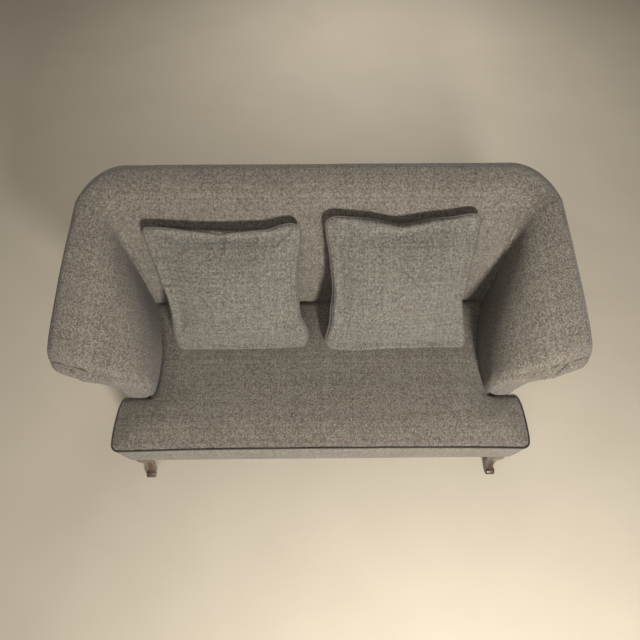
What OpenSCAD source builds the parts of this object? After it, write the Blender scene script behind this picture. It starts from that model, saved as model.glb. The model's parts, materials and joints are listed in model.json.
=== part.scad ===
// Rolled arm sofa: a tight T-shaped seat in a continuous winged back and arms, two loose
// scatter pillows, and four short legs. Millimetres, floor at Z = 0, front towards -Y.

/* [Overall] */
// Depth from the toe of a front leg to the rearmost point of the back
overall_d = 897; // [860:1:930]
// Height of the top of the back above the floor
back_top = 893; // [860:1:930]
// Height of the top of an arm above the floor where it meets the back
shoulder_top = 864; // [830:1:890]
// Height of the top of an arm at its front
arm_top = 666; // [640:1:690]
// Height of the bottom edge of the upholstery above the floor
apron_z = 276; // [260:1:290]

/* [Seat] */
// Width of the front of the seat, across its two wings
seat_w = 1386; // [1370:1:1400]
// Height of the seat's front seam above the floor
seam_z = 430; // [422:1:436]
// How much lower the seat's seam lies at the back
seat_fall = 15; // [5:1:20]
// How far the middle of the seat rises above its seam
seat_crown = 20; // [8:1:26]
// Depth of the wings of the seat, in front of the arms
wing_d = 202; // [190:1:215]
// How far the sides of the wings swell outwards
wing_swell = 25; // [15:1:28]
// Radius of the seat's front corners
seat_corner_r = 22; // [18:1:26]
// How far a toe stands in front of the seat
toe_reach = 18.5; // [14:0.5:24]

/* [Arms and back] */
// How much further out each arm's inside face is at the back than at the front
arm_spread = 49; // [45:1:54]
// How far an arm's inside face bows into the seat at mid length
arm_bow = 26; // [18:1:30]
// How far the front of an arm reaches outwards from its inside face
front_reach = 270.5; // [262:0.5:280]
// How far the rear of an arm reaches outwards from its inside face
rear_reach = 175; // [170:1:182]
// How far the back reaches rearwards from its inside face at the seat
back_reach = 283; // [276:1:290]
// Plan radius of the outside corner between arm and back
corner_r = 154; // [140:1:165]
// How far the rolled front of an arm stands forward of its seam
nose = 24; // [16:1:28]

/* [Upholstery] */
// Thickness of the cover fabric with its backing
cover_t = 3; // [2.5:0.1:3.2]
// Thickness of the padding on the arms
arm_pad_t = 16; // [12:1:18]
// Thickness of the padding on the back
back_pad_t = 26; // [18:1:30]
// Diameter of the cord in the seat's seam
welt_d = 6; // [5:0.5:6.5]

/* [Pillows] */
// Height of a pillow, seam to seam at its corners
pillow_h = 480; // [450:1:500]
// Thickness of a pillow at its middle
pillow_t = 200; // [160:1:210]
// Lean of the left pillow from upright, in degrees
left_lean = 38; // [35:1:41]
// Lean of the right pillow from upright, in degrees
right_lean = 38; // [35:1:41]
// Width left free between the left arm and its pillow, which fills what the spaces leave
left_pillow_space = 97; // [85:1:115]
// Width left free between the two pillows
middle_space = 72; // [60:1:90]
// Width left free between the right arm and its pillow
right_pillow_space = 121; // [105:1:135]

/* [Frame] */
// Thickness of the frame's rails
rail_t = 25; // [20:1:28]
// Height of the seat rails
rail_h = 95.5; // [85:0.5:100]
// Width of a leg where it meets the frame
leg_w = 47; // [42:1:50]

/* [Hidden] */

// Clearance between pieces that lie against each other
gap = 0.3;
// Extra length of a cut, so that it breaks clean through
over = 1;

// Colours
fabric = [0.45, 0.42, 0.37];
pillow_fabric = [0.51, 0.48, 0.43];
welt_dark = [0.18, 0.15, 0.12];
walnut = [0.35, 0.25, 0.18];
beech = [0.80, 0.66, 0.47];
foam = [0.93, 0.89, 0.74];
jute = [0.62, 0.50, 0.33];
steel = [0.60, 0.61, 0.63];

// Planes that the pieces share
rail_lift = 1.5;
rail_z = apron_z + rail_lift;
deck_z = rail_z + rail_h;
seat_y = -overall_d / 2 + toe_reach;
back_y = overall_d / 2 - back_reach;
arm_y = seat_y + wing_d;
seat_x = seat_w / 2;
low_nose = 6;
side_gap = 3;
wing_gap = 1;
rear_gap = 2;
step_y = arm_y - low_nose - wing_gap;
seat_rear_y = back_y - rear_gap;

// Upholstered sections, inside base first, over the roll, down to the outside base.
// Each pair is a share of the outward reach and a share of the rise from the seat deck.
// A height share of -1 is the bottom edge of the upholstery.
back_shares = [
    [0, 0], [0.02, 0.19], [0.13, 0.44], [0.285, 0.675], [0.435, 0.845], [0.6, 0.958], [0.78, 1],
    [0.93, 0.96], [1, 0.856], [0.995, 0.7], [0.97, 0.54], [0.935, 0.36], [0.895, 0.13], [0.87, -1]
];
rear_shares = [
    [0, 0], [0.023, 0.21], [0.13, 0.47], [0.263, 0.69], [0.405, 0.853], [0.583, 0.963],
    [0.783, 1], [0.95, 0.957], [1, 0.853], [0.97, 0.717], [0.9, 0.58], [0.81, 0.38],
    [0.71, 0.157], [0.605, -1]
];
front_shares = [
    [0, 0], [-0.052, 0.276], [-0.06, 0.49], [0.074, 0.727], [0.333, 0.867], [0.626, 0.966],
    [0.874, 1], [1, 0.894], [0.907, 0.761], [0.741, 0.69], [0.537, 0.587], [0.389, 0.433],
    [0.326, 0.195], [0.311, -1]
];
last_point = len(back_shares) - 1;
// Width of an arm's stem at its front, and how far its inside face leans into the seat
stem_share = front_shares[last_point][0];
arm_stem = stem_share * front_reach;
lean_share = -front_shares[2][0];
arm_lean = lean_share * front_reach;
// The stem's outside lies a little inside the seat's side, which sets the width between the arms
stem_in = 3;
arm_gap_front = 2 * (seat_x - stem_in - arm_stem);
arm_gap_rear = arm_gap_front + 2 * arm_spread;
// How much the front of an arm slants back, for each unit of reach beyond the stem
slant_share = 0.235;
// How the arm's height grows from front to rear
rise_power = 0.78;
// Shares of the arm's length and of the turn into the back at which sections lie
arm_station_shares = [0, 0.2, 0.4, 0.6, 0.8, 1];
corner_share = 0.25;
seam_share = 0.005;
// Points taken round a section, in half steps of the tables above
round_shares = [0, 0.7, 1.5, 3, 4, 5, 5.5, 6, 6.5, 7, 7.5, 8, 9, 10, 11.5, 12.3, 13];
nose_steps = 6;
inner_corner_r = 6;
full_turn_share = 0.83;
bow_end_share = 0.45;

// Smooth curve through the points of a table, at step s
function smooth_at(p, s) =
    let (
        m = len(p) - 1,
        i = min(floor(s), m - 1),
        f = s - i,
        b = p[i],
        c = p[i + 1],
        a = i > 0 ? p[i - 1] : 2 * b - c,
        d = i + 2 <= m ? p[i + 2] : 2 * c - b
    )
    (2 * b + (c - a) * f + (2 * a - 5 * b + 4 * c - d) * f * f + (3 * b - a - 3 * c + d) * f * f * f) / 2;

function section_table(shares, reach, top) = [
    for (s = shares) [s[0] * reach, deck_z + s[1] * (s[1] < 0 ? deck_z - apron_z : top - deck_z)]
];

// A section's points, moved inwards by an inset, at the given steps
slope_share = 0.05;
function section(table, inset, steps) = [
    for (s = steps)
        let (
            t = smooth_at(table, min(s + slope_share, last_point)) - smooth_at(table, max(s - slope_share, 0)),
            n = s == 0 ? [-1, 0] : s == last_point ? [1, 0] : [-t[1], t[0]] / norm(t)
        )
        smooth_at(table, s) - inset * n
];

back_table = section_table(back_shares, back_reach, back_top);
rear_table = section_table(rear_shares, rear_reach, shoulder_top);
front_table = section_table(front_shares, front_reach, arm_top);

function ease(t) = t * t * (3 - 2 * t);
function mix(a, b, t) = a + (b - a) * t;
function reversed(p) = [for (i = [len(p) - 1:-1:0]) p[i]];
function flipped_x(p) = [for (q = p) [-q[0], q[1], q[2]]];

// Plan of one step of the section, for the left half: the line along the arm from its front
// point, the arc round the corner and the line along the back. f, r and b are the front, rear
// and back section points.
function plan_front(f) = [-(arm_gap_front / 2 + f[0]), arm_y + slant_share * max(f[0] - arm_stem, 0)];
function plan_of(f, r, b) =
    let (
        a = plan_front(f),
        e = [-(arm_gap_rear / 2 + r[0]), back_y],
        along = (e - a) / (e[1] - a[1]),
        c = a + along * (back_y + b[0] - a[1]),
        k = min(1, max(0, b[0]) / (full_turn_share * back_reach)),
        radius = mix(inner_corner_r, corner_r, k),
        turn = atan2(1, along[0]),
        tangent = radius * tan(turn / 2),
        dir = along / norm(along),
        t1 = c - dir * tangent
    )
    [a, t1, c + [tangent, 0], t1 + [dir[1], -dir[0]] * radius, turn];

function bow_at(s, u) = arm_bow * sin(180 * u) * max(0, 1 - s / (bow_end_share * last_point));
function arm_height(f, r, u) = mix(f[1], r[1], pow(u, rise_power));

// One point of the left half of the arms and back. s is the step in the section, and u runs
// 0..1 along the arm, 1..2 round the corner and 2..3 along the back to the middle.
function body_point(f, r, b, s, u) =
    let (
        q = plan_of(f, r, b),
        w = q[4] * (u - 1),
        spoke = q[1] - q[3],
        plan = u <= 1 ? mix(q[0], q[1], u) + [bow_at(s, u), 0]
            : u < 2 ? q[3] + [
                cos(w) * spoke[0] + sin(w) * spoke[1],
                cos(w) * spoke[1] - sin(w) * spoke[0]
            ]
            : mix(q[2], [0, q[2][1]], u - 2),
        z = u <= 1 ? arm_height(f, r, u) : mix(r[1], b[1], ease(min(u - 1, 1)))
    )
    [plan[0], plan[1], z];

// A grid of body points, one row for each station
function body_grid(inset, stations, steps) =
    let (
        f = section(front_table, inset, steps),
        r = section(rear_table, inset, steps),
        b = section(back_table, inset, steps)
    )
    [for (u = stations) [for (i = [0:len(steps) - 1]) body_point(f[i], r[i], b[i], steps[i], u)]];

function body_at(inset, s, u) = body_grid(inset, [u], [s])[0][0];

// The arm's section cut at a depth y, as [x, z] points
function arm_slice(inset, y, steps) =
    let (
        f = section(front_table, inset, steps),
        r = section(rear_table, inset, steps),
        b = section(back_table, inset, steps)
    )
    [
        for (i = [0:len(steps) - 1])
            let (
                q = plan_of(f[i], r[i], b[i]),
                u = min(1, max(0, (y - q[0][1]) / (q[1][1] - q[0][1]))),
                p = mix(q[0], q[1], u)
            )
            [p[0] + bow_at(steps[i], u), arm_height(f[i], r[i], u)]
    ];

arm_stations = concat(arm_station_shares, [1 + corner_share, 1.5 - seam_share]);
half_back_stations = [1.5 + seam_share, 2 - corner_share, 2];

function flat_list(rows) = [for (row = rows) for (p = row) p];

// Triangles of a grid of rows and columns, and the loop of its edge
function grid_faces(rows, cols) = [
    for (i = [0:rows - 2]) for (j = [0:cols - 2])
        let (a = i * cols + j, b = a + 1, c = a + cols, d = c + 1)
        for (face = [[a, c, b], [b, c, d]]) face
];
function grid_rim(rows, cols) = concat(
    [for (j = [0:cols - 1]) j],
    [for (i = [1:rows - 1]) i * cols + cols - 1],
    [for (j = [cols - 2:-1:0]) (rows - 1) * cols + j],
    [for (i = [rows - 2:-1:1]) i * cols]
);

// Closed solid between an outer and an inner surface with the same faces and rim
module shell(outer, inner, faces, rim) {
    n = len(outer);
    m = len(rim);
    polyhedron(
        points = concat(outer, inner),
        faces = concat(
            faces,
            [for (f = faces) [f[2] + n, f[1] + n, f[0] + n]],
            [
                for (i = [0:m - 1])
                    let (a = rim[i], b = rim[(i + 1) % m])
                    for (face = [[a, b, b + n], [a, b + n, a + n]]) face
            ]
        ),
        convexity = 8
    );
}

module slab(outer_rows, inner_rows) {
    rows = len(outer_rows);
    cols = len(outer_rows[0]);
    shell(flat_list(outer_rows), flat_list(inner_rows), grid_faces(rows, cols), grid_rim(rows, cols));
}

// Closed tube along a loop of points, or with end faces along an open run of rings
module tube(rings, closed) {
    n = len(rings);
    k = len(rings[0]);
    runs = closed ? n - 1 : n - 2;
    polyhedron(
        points = flat_list(rings),
        faces = concat(
            [
                for (i = [0:runs]) for (j = [0:k - 1])
                    let (a = i * k + j, b = i * k + (j + 1) % k, c = (i + 1) % n * k + j,
                        d = (i + 1) % n * k + (j + 1) % k)
                    for (face = [[a, b, c], [b, d, c]]) face
            ],
            closed ? [] : [[for (j = [k - 1:-1:0]) j], [for (j = [0:k - 1]) (n - 1) * k + j]]
        ),
        convexity = 8
    );
}

// Rings of a round cord of radius r round a closed path
cord_sides = 6;
function cord_rings(path, r, up) = [
    for (i = [0:len(path) - 1])
        let (
            n = len(path),
            t = path[(i + 1) % n] - path[(i + n - 1) % n],
            t1 = t / norm(t),
            s0 = cross(t1, up),
            s1 = s0 / norm(s0),
            s2 = cross(s1, t1)
        )
        [
            for (j = [0:cord_sides - 1])
                let (w = 360 * j / cord_sides)
                path[i] + r * (cos(w) * s1 + sin(w) * s2)
        ]
];

// Seat outline
// Height of the seam, the share of the way back, and half the width at a depth y
function back_share(y) = (y - seat_y) / (seat_rear_y - seat_y);
function seam_at(y) = seam_z - seat_fall * back_share(y);
function arm_inside_x(y) =
    let (u = min(1, max(0, (y - arm_y) / (back_y - arm_y))))
    mix(arm_gap_front / 2 - arm_lean, arm_gap_rear / 2, u) - arm_bow * sin(180 * u) - side_gap;

corner_steps = 4;
wing_shares = [0.3, 0.62, 0.84];
// Share of the swell at each share of the wing's depth, from the front
swell_shares = [
    [0, 0.55], [0.06, 0.72], [0.11, 0.84], [0.2, 0.95], [0.35, 1], [0.5, 1], [0.65, 0.95],
    [0.78, 0.86], [0.88, 0.68], [0.95, 0.42], [1, 0.25]
];
function swell_at(y) = lookup((y - seat_y) / (step_y - seat_y), swell_shares);
rear_row_shares = [0.1, 0.3, 0.5, 0.7, 0.88, 1];
// Rows of [y, half width] of the seat's outline, drawn in by an inset
function wing_at(y, half, swell) = [y, half + swell * swell_at(y)];
function seat_rows(inset, swell = wing_swell) = concat(
    [
        for (i = [0:corner_steps])
            let (a = 90 * i / corner_steps, r = seat_corner_r - inset)
            wing_at(seat_y + inset + r * (1 - cos(a)), seat_x - inset - r * (1 - sin(a)), swell)
    ],
    [for (t = wing_shares) wing_at(mix(seat_y + seat_corner_r, step_y - inset, t), seat_x - inset, swell)],
    [
        wing_at(step_y - inset, seat_x - inset, swell),
        [step_y - inset + side_gap, arm_inside_x(arm_y) - inset]
    ],
    [
        for (t = rear_row_shares)
            let (y = mix(arm_y, seat_rear_y - inset, t))
            [y, arm_inside_x(y) - inset]
    ]
);

// Height of the top of the seat
edge_power = 4;
crown_power = 0.75;
function seat_top_at(x, y, half) =
    let (s = min(1, max(0, back_share(y))), e = abs(x) / half)
    seam_at(y) + seat_crown * (1 - pow(e, edge_power)) * pow(4 * s * (1 - s), crown_power);

across_shares = [-1, -0.93, -0.72, -0.4, 0, 0.4, 0.72, 0.93, 1];
function seat_surface(inset, drop) = [
    for (row = seat_rows(inset))
        [for (t = across_shares) [t * row[1], row[0], seat_top_at(t * row[1], row[0], row[1]) - drop]]
];
function seat_level(inset, z) = [
    for (row = seat_rows(inset)) [for (t = across_shares) [t * row[1], row[0], z]]
];

// The cord lies in the corner between border and top panel
welt_r = welt_d / 2;
welt_in = welt_r + gap;
panel_in = 2 * welt_r + 4 * gap;
panel_sink = cover_t / 2;

function seat_loop(inset, drop) =
    let (rows = seat_rows(inset))
    concat(
        [for (row = rows) [-row[1], row[0], seam_at(row[0]) - drop]],
        [for (row = reversed(rows)) [row[1], row[0], seam_at(row[0]) - drop]]
    );

module seat_top_panel() {
    color(fabric)
        slab(seat_surface(panel_in, panel_sink), seat_surface(panel_in, panel_sink + cover_t));
}

// Stack on the seat deck: spring wire, clips, hessian, pad
wire_t = 3.5;
clip_t = 1.5;
hessian_t = 1.5;
hessian_z = deck_z + wire_t + clip_t + gap;
pad_z = hessian_z + hessian_t + gap;

module seat_pad() {
    color(foam)
        slab(seat_surface(panel_in, panel_sink + cover_t + gap), seat_level(panel_in, pad_z));
}

module seat_welt() {
    color(welt_dark)
        tube(cord_rings(seat_loop(welt_in, welt_r / 2), welt_r, [0, 0, 1]), true);
}

// Border: front and side faces of the seat, tucked in a little at the bottom edge
tuck = 3;
border_height_shares = [0, 0.35, 1];
border_tuck_shares = [1, 0.25, 0];
wing_row = corner_steps + len(wing_shares) + 1;
function border_path(inset) =
    let (rows = [for (i = [0:wing_row]) seat_rows(inset)[i]])
    concat(reversed([for (row = rows) [-row[1], row[0]]]), [for (row = rows) [row[1], row[0]]]);
function border_surface(inset) = [
    for (i = [0:len(border_path(inset)) - 1])
        [
            for (k = [0:len(border_height_shares) - 1])
                let (
                    p = border_path(inset + tuck * border_tuck_shares[k])[i],
                    top = seam_at(p[1]) - 2 * welt_r
                )
                [p[0], p[1], mix(apron_z, top, border_height_shares[k])]
        ]
];

module seat_border() {
    color(fabric)
        slab(border_surface(cover_t), border_surface(0));
}

// Arms and back. The front of an arm is closed from the first row above the seat deck to the
// tip of the roll.
roll_rows = len(round_shares);
cap_row = 1;
tip_row = (roll_rows - 1) / 2;
nose_from = 2;
nose_steps_to_full = 2;
function nose_at(s) = mix(low_nose, nose, min(1, max(0, (s - nose_from) / nose_steps_to_full)));
// The rolled front of an arm: the section's two sides joined across half an ellipse
function cap_point(ring, i, j, inset) =
    let (
        a = ring[i],
        b = ring[roll_rows - 1 - i],
        w = 180 * j / nose_steps,
        p = mix(a, b, (1 - cos(w)) / 2)
    )
    [p[0], p[1] - (nose_at(round_shares[i]) - inset) * sin(w), p[2]];
function arm_skin(inset) =
    let (rows = body_grid(inset, arm_stations, round_shares))
    concat(
        flat_list(rows),
        [
            for (i = [cap_row:tip_row - 1]) for (j = [1:nose_steps - 1])
                cap_point(rows[0], i, j, inset)
        ]
    );
cap_start = len(arm_stations) * roll_rows;
function cap_index(i, j) =
    i == tip_row || j == 0 ? i
        : j == nose_steps ? roll_rows - 1 - i
        : cap_start + (i - cap_row) * (nose_steps - 1) + j - 1;
cap_faces = [
    for (i = [cap_row:tip_row - 1]) for (j = [0:nose_steps - 1])
        let (
            a = cap_index(i, j),
            b = cap_index(i, j + 1),
            c = cap_index(i + 1, j),
            d = cap_index(i + 1, j + 1)
        )
        for (face = [[a, c, b], [b, c, d]])
            if (face[0] != face[1] && face[1] != face[2] && face[0] != face[2]) face
];
arm_faces = concat(grid_faces(len(arm_stations), roll_rows), cap_faces);
arm_rim = concat(
    [for (i = [0:cap_row - 1]) i],
    [for (j = [0:nose_steps]) cap_index(cap_row, j)],
    [for (i = [cap_row - 1:-1:0]) roll_rows - 1 - i],
    [for (i = [1:len(arm_stations) - 1]) i * roll_rows + roll_rows - 1],
    [for (j = [roll_rows - 2:-1:0]) (len(arm_stations) - 1) * roll_rows + j],
    [for (i = [len(arm_stations) - 2:-1:1]) i * roll_rows]
);

module arm_cover() {
    color(fabric)
        shell(arm_skin(cover_t), arm_skin(0), arm_faces, arm_rim);
}

// Padding of an arm, from its inside base over the roll. Its end stops short of the corner seam.
skin_in = cover_t + gap;
arm_pad_in = skin_in + arm_pad_t;
pad_points = 11;
pad_shares = [for (i = [0:pad_points - 1]) round_shares[i]];
pad_end_share = 0.85;
function ended(rows) =
    let (n = len(rows) - 1)
    [for (i = [0:n]) i < n ? rows[i] : mix(rows[n - 1], rows[n], pad_end_share)];
function arm_pad_grid(inset) = ended(body_grid(inset, arm_stations, pad_shares));

module arm_pad() {
    color(foam)
        slab(arm_pad_grid(arm_pad_in), arm_pad_grid(skin_in));
}

// Board that stiffens the outside of an arm
board_t = 2;
board_from = 12;
board_to = 15;
outside_board_shares = [for (i = [board_from:board_to]) round_shares[i]];
module arm_outside_board() {
    color(jute)
        slab(
            body_grid(skin_in + board_t, arm_station_shares, outside_board_shares),
            body_grid(skin_in, arm_station_shares, outside_board_shares)
        );
}

// The back runs between the two corner seams, the same on both sides of the middle
function both_sides(rows) = concat(rows, [for (row = reversed(rows)) flipped_x(row)]);
function back_grid(inset, steps) = both_sides(body_grid(inset, half_back_stations, steps));
function back_pad_grid(inset) =
    both_sides(reversed(ended(reversed(body_grid(inset, half_back_stations, pad_shares)))));

module back_cover() {
    color(fabric)
        slab(back_grid(cover_t, round_shares), back_grid(0, round_shares));
}

back_pad_in = skin_in + back_pad_t;
module back_pad() {
    color(foam)
        slab(back_pad_grid(back_pad_in), back_pad_grid(skin_in));
}

// Flat plate cut to a side outline of [y, z] points, standing across the sofa
module side_plate(points, width, x) {
    translate([x, 0, 0])
        rotate([90, 0, 90])
            linear_extrude(width, center = true)
                polygon(points);
}

function back_outline(inset, steps) = [for (p = section(back_table, inset, steps)) [back_y + p[0], p[1]]];

// Half the width over which the back is straight
straight_x = -body_at(skin_in, last_point, 2)[0];
module outside_back_board() {
    color(jute)
        side_plate(
            concat(
                back_outline(skin_in, outside_board_shares),
                reversed(back_outline(skin_in + board_t, outside_board_shares))
            ),
            2 * straight_x - rail_t,
            0
        );
}

// Webbing straps behind the padding of the back
strap_t = 2;
strap_w = 50;
strap_count = 7;
strap_to = 4;
strap_shares = [for (i = [1:strap_to]) round_shares[i]];
module back_webbing() {
    inset = back_pad_in + gap;
    pitch = 2 * straight_x / strap_count;
    color(jute)
        for (i = [0:strap_count - 1])
            side_plate(
                concat(
                    back_outline(inset, strap_shares),
                    reversed(back_outline(inset + strap_t, strap_shares))
                ),
                strap_w,
                (i - (strap_count - 1) / 2) * pitch
            );
}

// Frame
block_in = cover_t + tuck + gap;
block_x = seat_x - block_in;
block_y = seat_y + block_in;
rail_end_x = block_x - leg_w;
rear_t1 = body_at(skin_in, last_point, 1);
rear_t2 = body_at(skin_in, last_point, 2);
block_d = 70;
tenon_t = 8;
tenon_h = 50;
tenon_l = 60;
joint_gap = 0.1;
bolt_r = 4;
bolt_l = 90;

// A loose tenon, or with a clearance its mortise, centred on a joint and lying along X
module tenon_at(x, y, clear) {
    translate([x, y, rail_z + rail_h / 2])
        cube([tenon_l + 2 * clear, tenon_t + 2 * clear, tenon_h + 2 * clear], center = true);
}

front_rail_y = block_y + rail_t / 2;
rear_rail_y = rear_t2[1] - rail_t / 2;
module all_tenons(clear) {
    for (side = [-1, 1]) {
        tenon_at(side * rail_end_x, front_rail_y, clear);
        tenon_at(side * rear_t2[0], rear_rail_y, clear);
    }
}
module frame_tenons() {
    color(beech)
        all_tenons(0);
}

module front_rail() {
    color(beech)
        difference() {
            translate([-rail_end_x, block_y, rail_z])
                cube([2 * rail_end_x, rail_t, rail_h]);
            all_tenons(joint_gap);
        }
}
module rear_rail() {
    color(beech)
        difference() {
            translate([rear_t2[0], rear_t2[1] - rail_t, rail_z])
                cube([-2 * rear_t2[0], rail_t, rail_h]);
            all_tenons(joint_gap);
        }
}

// Hexagon-headed screws through a front corner block into the end of a side rail
screw_r = 2.5;
screw_head_r = 5;
screw_head_t = 3;
screw_sink = 4;
screw_bite = 30;
screw_height_shares = [0.15, 0.85];
module screws(clear) {
    for (side = [-1, 1]) for (t = screw_height_shares)
        translate([side * (block_x - rail_t / 2), block_y + screw_head_t + screw_sink, rail_z + t * rail_h])
            rotate([-90, 0, 0]) {
                cylinder(h = leg_w + screw_bite + clear, r = screw_r + clear, $fn = 24);
                translate([0, 0, -screw_head_t - (clear > 0 ? screw_sink + over : 0)])
                    cylinder(
                        h = screw_head_t + (clear > 0 ? screw_sink + over : 0) + clear,
                        r = screw_head_r + clear,
                        $fn = 6
                    );
            }
}
module corner_screws() {
    color(steel)
        screws(0);
}

side_rail_points = [
    [-block_x, block_y + leg_w],
    [-block_x, arm_y],
    [rear_t1[0], rear_t1[1]],
    [rear_t1[0] + rail_t, rear_t1[1]],
    [-block_x + rail_t, arm_y],
    [-block_x + rail_t, block_y + leg_w]
];
module side_rail() {
    color(beech)
        difference() {
            translate([0, 0, rail_z])
                linear_extrude(rail_h)
                    polygon(side_rail_points);
            screws(joint_gap);
        }
}

front_block_points = concat(
    [
        for (i = [0:corner_steps])
            let (row = seat_rows(block_in, 0)[i])
            [-row[1], row[0]]
    ],
    [[-block_x, block_y + leg_w], [-rail_end_x, block_y + leg_w], [-rail_end_x, block_y]]
);
front_leg_at = [-(block_x - leg_w / 2), block_y + leg_w / 2];
module front_corner_blocks() {
    color(beech)
        difference() {
            for (side = [0, 1])
                mirror([side, 0, 0])
                    translate([0, 0, rail_z])
                        linear_extrude(rail_h)
                            polygon(front_block_points);
            all_tenons(joint_gap);
            screws(joint_gap);
            bolts(joint_gap);
        }
}

rear_block_points = concat(
    [
        for (u = [1, 1 + corner_share, 1.5 - seam_share, 1.5 + seam_share, 2 - corner_share, 2])
            let (p = body_at(skin_in, last_point, u))
            [p[0], p[1]]
    ],
    [[rear_t2[0], rear_t2[1] - block_d], [rear_t1[0] + block_d, rear_t1[1]]]
);
rear_leg_in = 9.4;
rear_leg_mid = (rear_t1 + rear_t2) / 2;
rear_leg_at = [rear_leg_mid[0] + rear_leg_in, rear_leg_mid[1] - rear_leg_in];
module rear_corner_blocks() {
    color(beech)
        difference() {
            for (side = [0, 1])
                mirror([side, 0, 0])
                    translate([0, 0, rail_z])
                        linear_extrude(rail_h)
                            polygon(rear_block_points);
            all_tenons(joint_gap);
            bolts(joint_gap);
        }
}

// Bolts that hold the legs, half in the leg and half in the corner block
module bolts(clear) {
    for (p = [front_leg_at, rear_leg_at]) for (side = [-1, 1])
        translate([side * p[0], p[1], rail_z])
            cylinder(h = bolt_l + 2 * clear, r = bolt_r + clear, center = true, $fn = 32);
}
module leg_bolts() {
    color(steel)
        bolts(0);
}

// Braces from front to rear rail, and the inner rails that they carry
inner_rail_h = 40;
brace_in = 60;
brace_x = -rear_t2[0] - brace_in;
seat_rail_front = 32;
seat_rail_rear = 38;
module seat_braces() {
    color(beech)
        for (i = [-1:1])
            translate([i * brace_x - rail_t / 2, block_y + rail_t, rail_z])
                cube([rail_t, rear_t2[1] - rail_t - (block_y + rail_t), rail_h - inner_rail_h]);
}
module back_seat_rail() {
    half = arm_gap_rear / 2;
    color(beech)
        translate([-half, back_y - seat_rail_front, deck_z - inner_rail_h])
            cube([2 * half, seat_rail_front + seat_rail_rear, inner_rail_h]);
}
arm_rail_w = 38;
module arm_seat_rail() {
    rear = back_y - seat_rail_front;
    inner = [
        for (t = arm_station_shares)
            let (y = mix(arm_y, rear, t))
            [-(arm_inside_x(y) + 2 * side_gap), y]
    ];
    color(beech)
        translate([0, 0, deck_z - inner_rail_h])
            linear_extrude(inner_rail_h)
                polygon(concat(inner, reversed([for (p = inner) p - [arm_rail_w, 0]])));
}

// Posts of an arm, sawn to the shape of its section
post_t = 32;
post_clear = 5;
front_post_share = 0.08;
rear_post_share = 0.755;
front_post_y = mix(arm_y, back_y, front_post_share);
rear_post_y = mix(arm_y, back_y, rear_post_share);
post_inner_shares = [0, 0.7, 1.5, 3, 4, 5];
post_outer_shares = [9, 10, 11.5, 12.3, 13];
// The inside edge keeps to the narrower and lower of the post's two faces, the outside edge
// to the narrower and higher
function post_edge(inset, y, steps, inside) =
    let (p = arm_slice(inset, y, steps), q = arm_slice(inset, y + post_t, steps))
    [
        for (i = [0:len(steps) - 1])
            inside ? [min(p[i][0], q[i][0]), min(p[i][1], q[i][1])]
                : [max(p[i][0], q[i][0]), max(p[i][1], q[i][1])]
    ];
module arm_post(y) {
    inner = post_edge(arm_pad_in + post_clear, y, post_inner_shares, true);
    outer = post_edge(skin_in + board_t + post_clear, y, post_outer_shares, false);
    color(beech)
        intersection() {
            translate([0, y + post_t, 0])
                rotate([90, 0, 0])
                    linear_extrude(post_t)
                        polygon(concat(inner, outer));
            translate([-overall_d, -overall_d, deck_z])
                cube([overall_d, 2 * overall_d, back_top]);
        }
}

// Board along the inside of an arm's roll, between its two posts
arm_board_t = 18;
arm_board_shares = [3.6, 4.3, 5];
arm_board_station_shares = [0.1, 0.3, 0.5, 0.7, 0.9];
module arm_board() {
    inset = arm_pad_in + 2 * post_clear;
    front = front_post_y + post_t;
    color(beech)
        intersection() {
            slab(
                body_grid(inset + arm_board_t, arm_board_station_shares, arm_board_shares),
                body_grid(inset, arm_board_station_shares, arm_board_shares)
            );
            translate([-overall_d, front, 0])
                cube([overall_d, rear_post_y - front, back_top]);
        }
}

// Posts and top rail of the back
top_rail_h = 50;
top_rail_d = 45;
top_rail_share = 0.71;
top_rail_drop = 30;
top_rail_top = back_top - back_pad_in - top_rail_drop;
post_d = 45;
back_post_shares = [8, 9, 10, 11.5, 12.3, 13];
module back_post(x) {
    rear = back_outline(skin_in + board_t + gap, back_post_shares);
    color(beech)
        intersection() {
            side_plate(concat(rear, reversed([for (p = rear) p - [post_d, 0]])), post_t, x);
            translate([x - post_t, back_y, deck_z])
                cube([2 * post_t, back_reach, top_rail_top - top_rail_h - deck_z]);
        }
}
post_x = straight_x - 2 * post_t;
module back_top_rail() {
    color(beech)
        translate([-straight_x + rail_t, back_y + top_rail_share * back_reach, top_rail_top - top_rail_h])
            cube([2 * (straight_x - rail_t), top_rail_d, top_rail_h]);
}

// Seat springs: flat zigzag wires from front rail to back seat rail
spring_count = 9;
spring_span_share = 0.78;
spring_amp = 22;
spring_waves = 8;
spring_steps = 4;
spring_lead = 26;
spring_inset = 6.25;
spring_start = block_y + spring_inset;
spring_end = back_y - seat_rail_front / 2;
clip_w = 16;
clip_l = 14;
function spring_x(i) = (2 * i / (spring_count - 1) - 1) * spring_span_share * rail_end_x;
function spring_mid(y) =
    let (
        t = (y - spring_start - spring_lead) / (spring_end - spring_start - 2 * spring_lead),
        inside = t > 0 && t < 1
    )
    inside ? spring_amp * sin(360 * spring_waves * t) : 0;
module seat_springs() {
    n = spring_waves * spring_steps;
    ys = concat(
        [spring_start],
        [for (k = [0:n]) mix(spring_start + spring_lead, spring_end - spring_lead, k / n)],
        [spring_end]
    );
    mids = [for (y = ys) [spring_mid(y), y]];
    dirs = [
        for (k = [0:len(mids) - 1])
            let (t = mids[min(k + 1, len(mids) - 1)] - mids[max(k - 1, 0)])
            [t[1], -t[0]] / norm(t)
    ];
    color(steel)
        for (i = [0:spring_count - 1])
            translate([spring_x(i), 0, deck_z])
                linear_extrude(wire_t)
                    polygon(concat(
                        [for (k = [0:len(mids) - 1]) mids[k] + dirs[k] * wire_t / 2],
                        [for (k = [len(mids) - 1:-1:0]) mids[k] - dirs[k] * wire_t / 2]
                    ));
}
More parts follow.
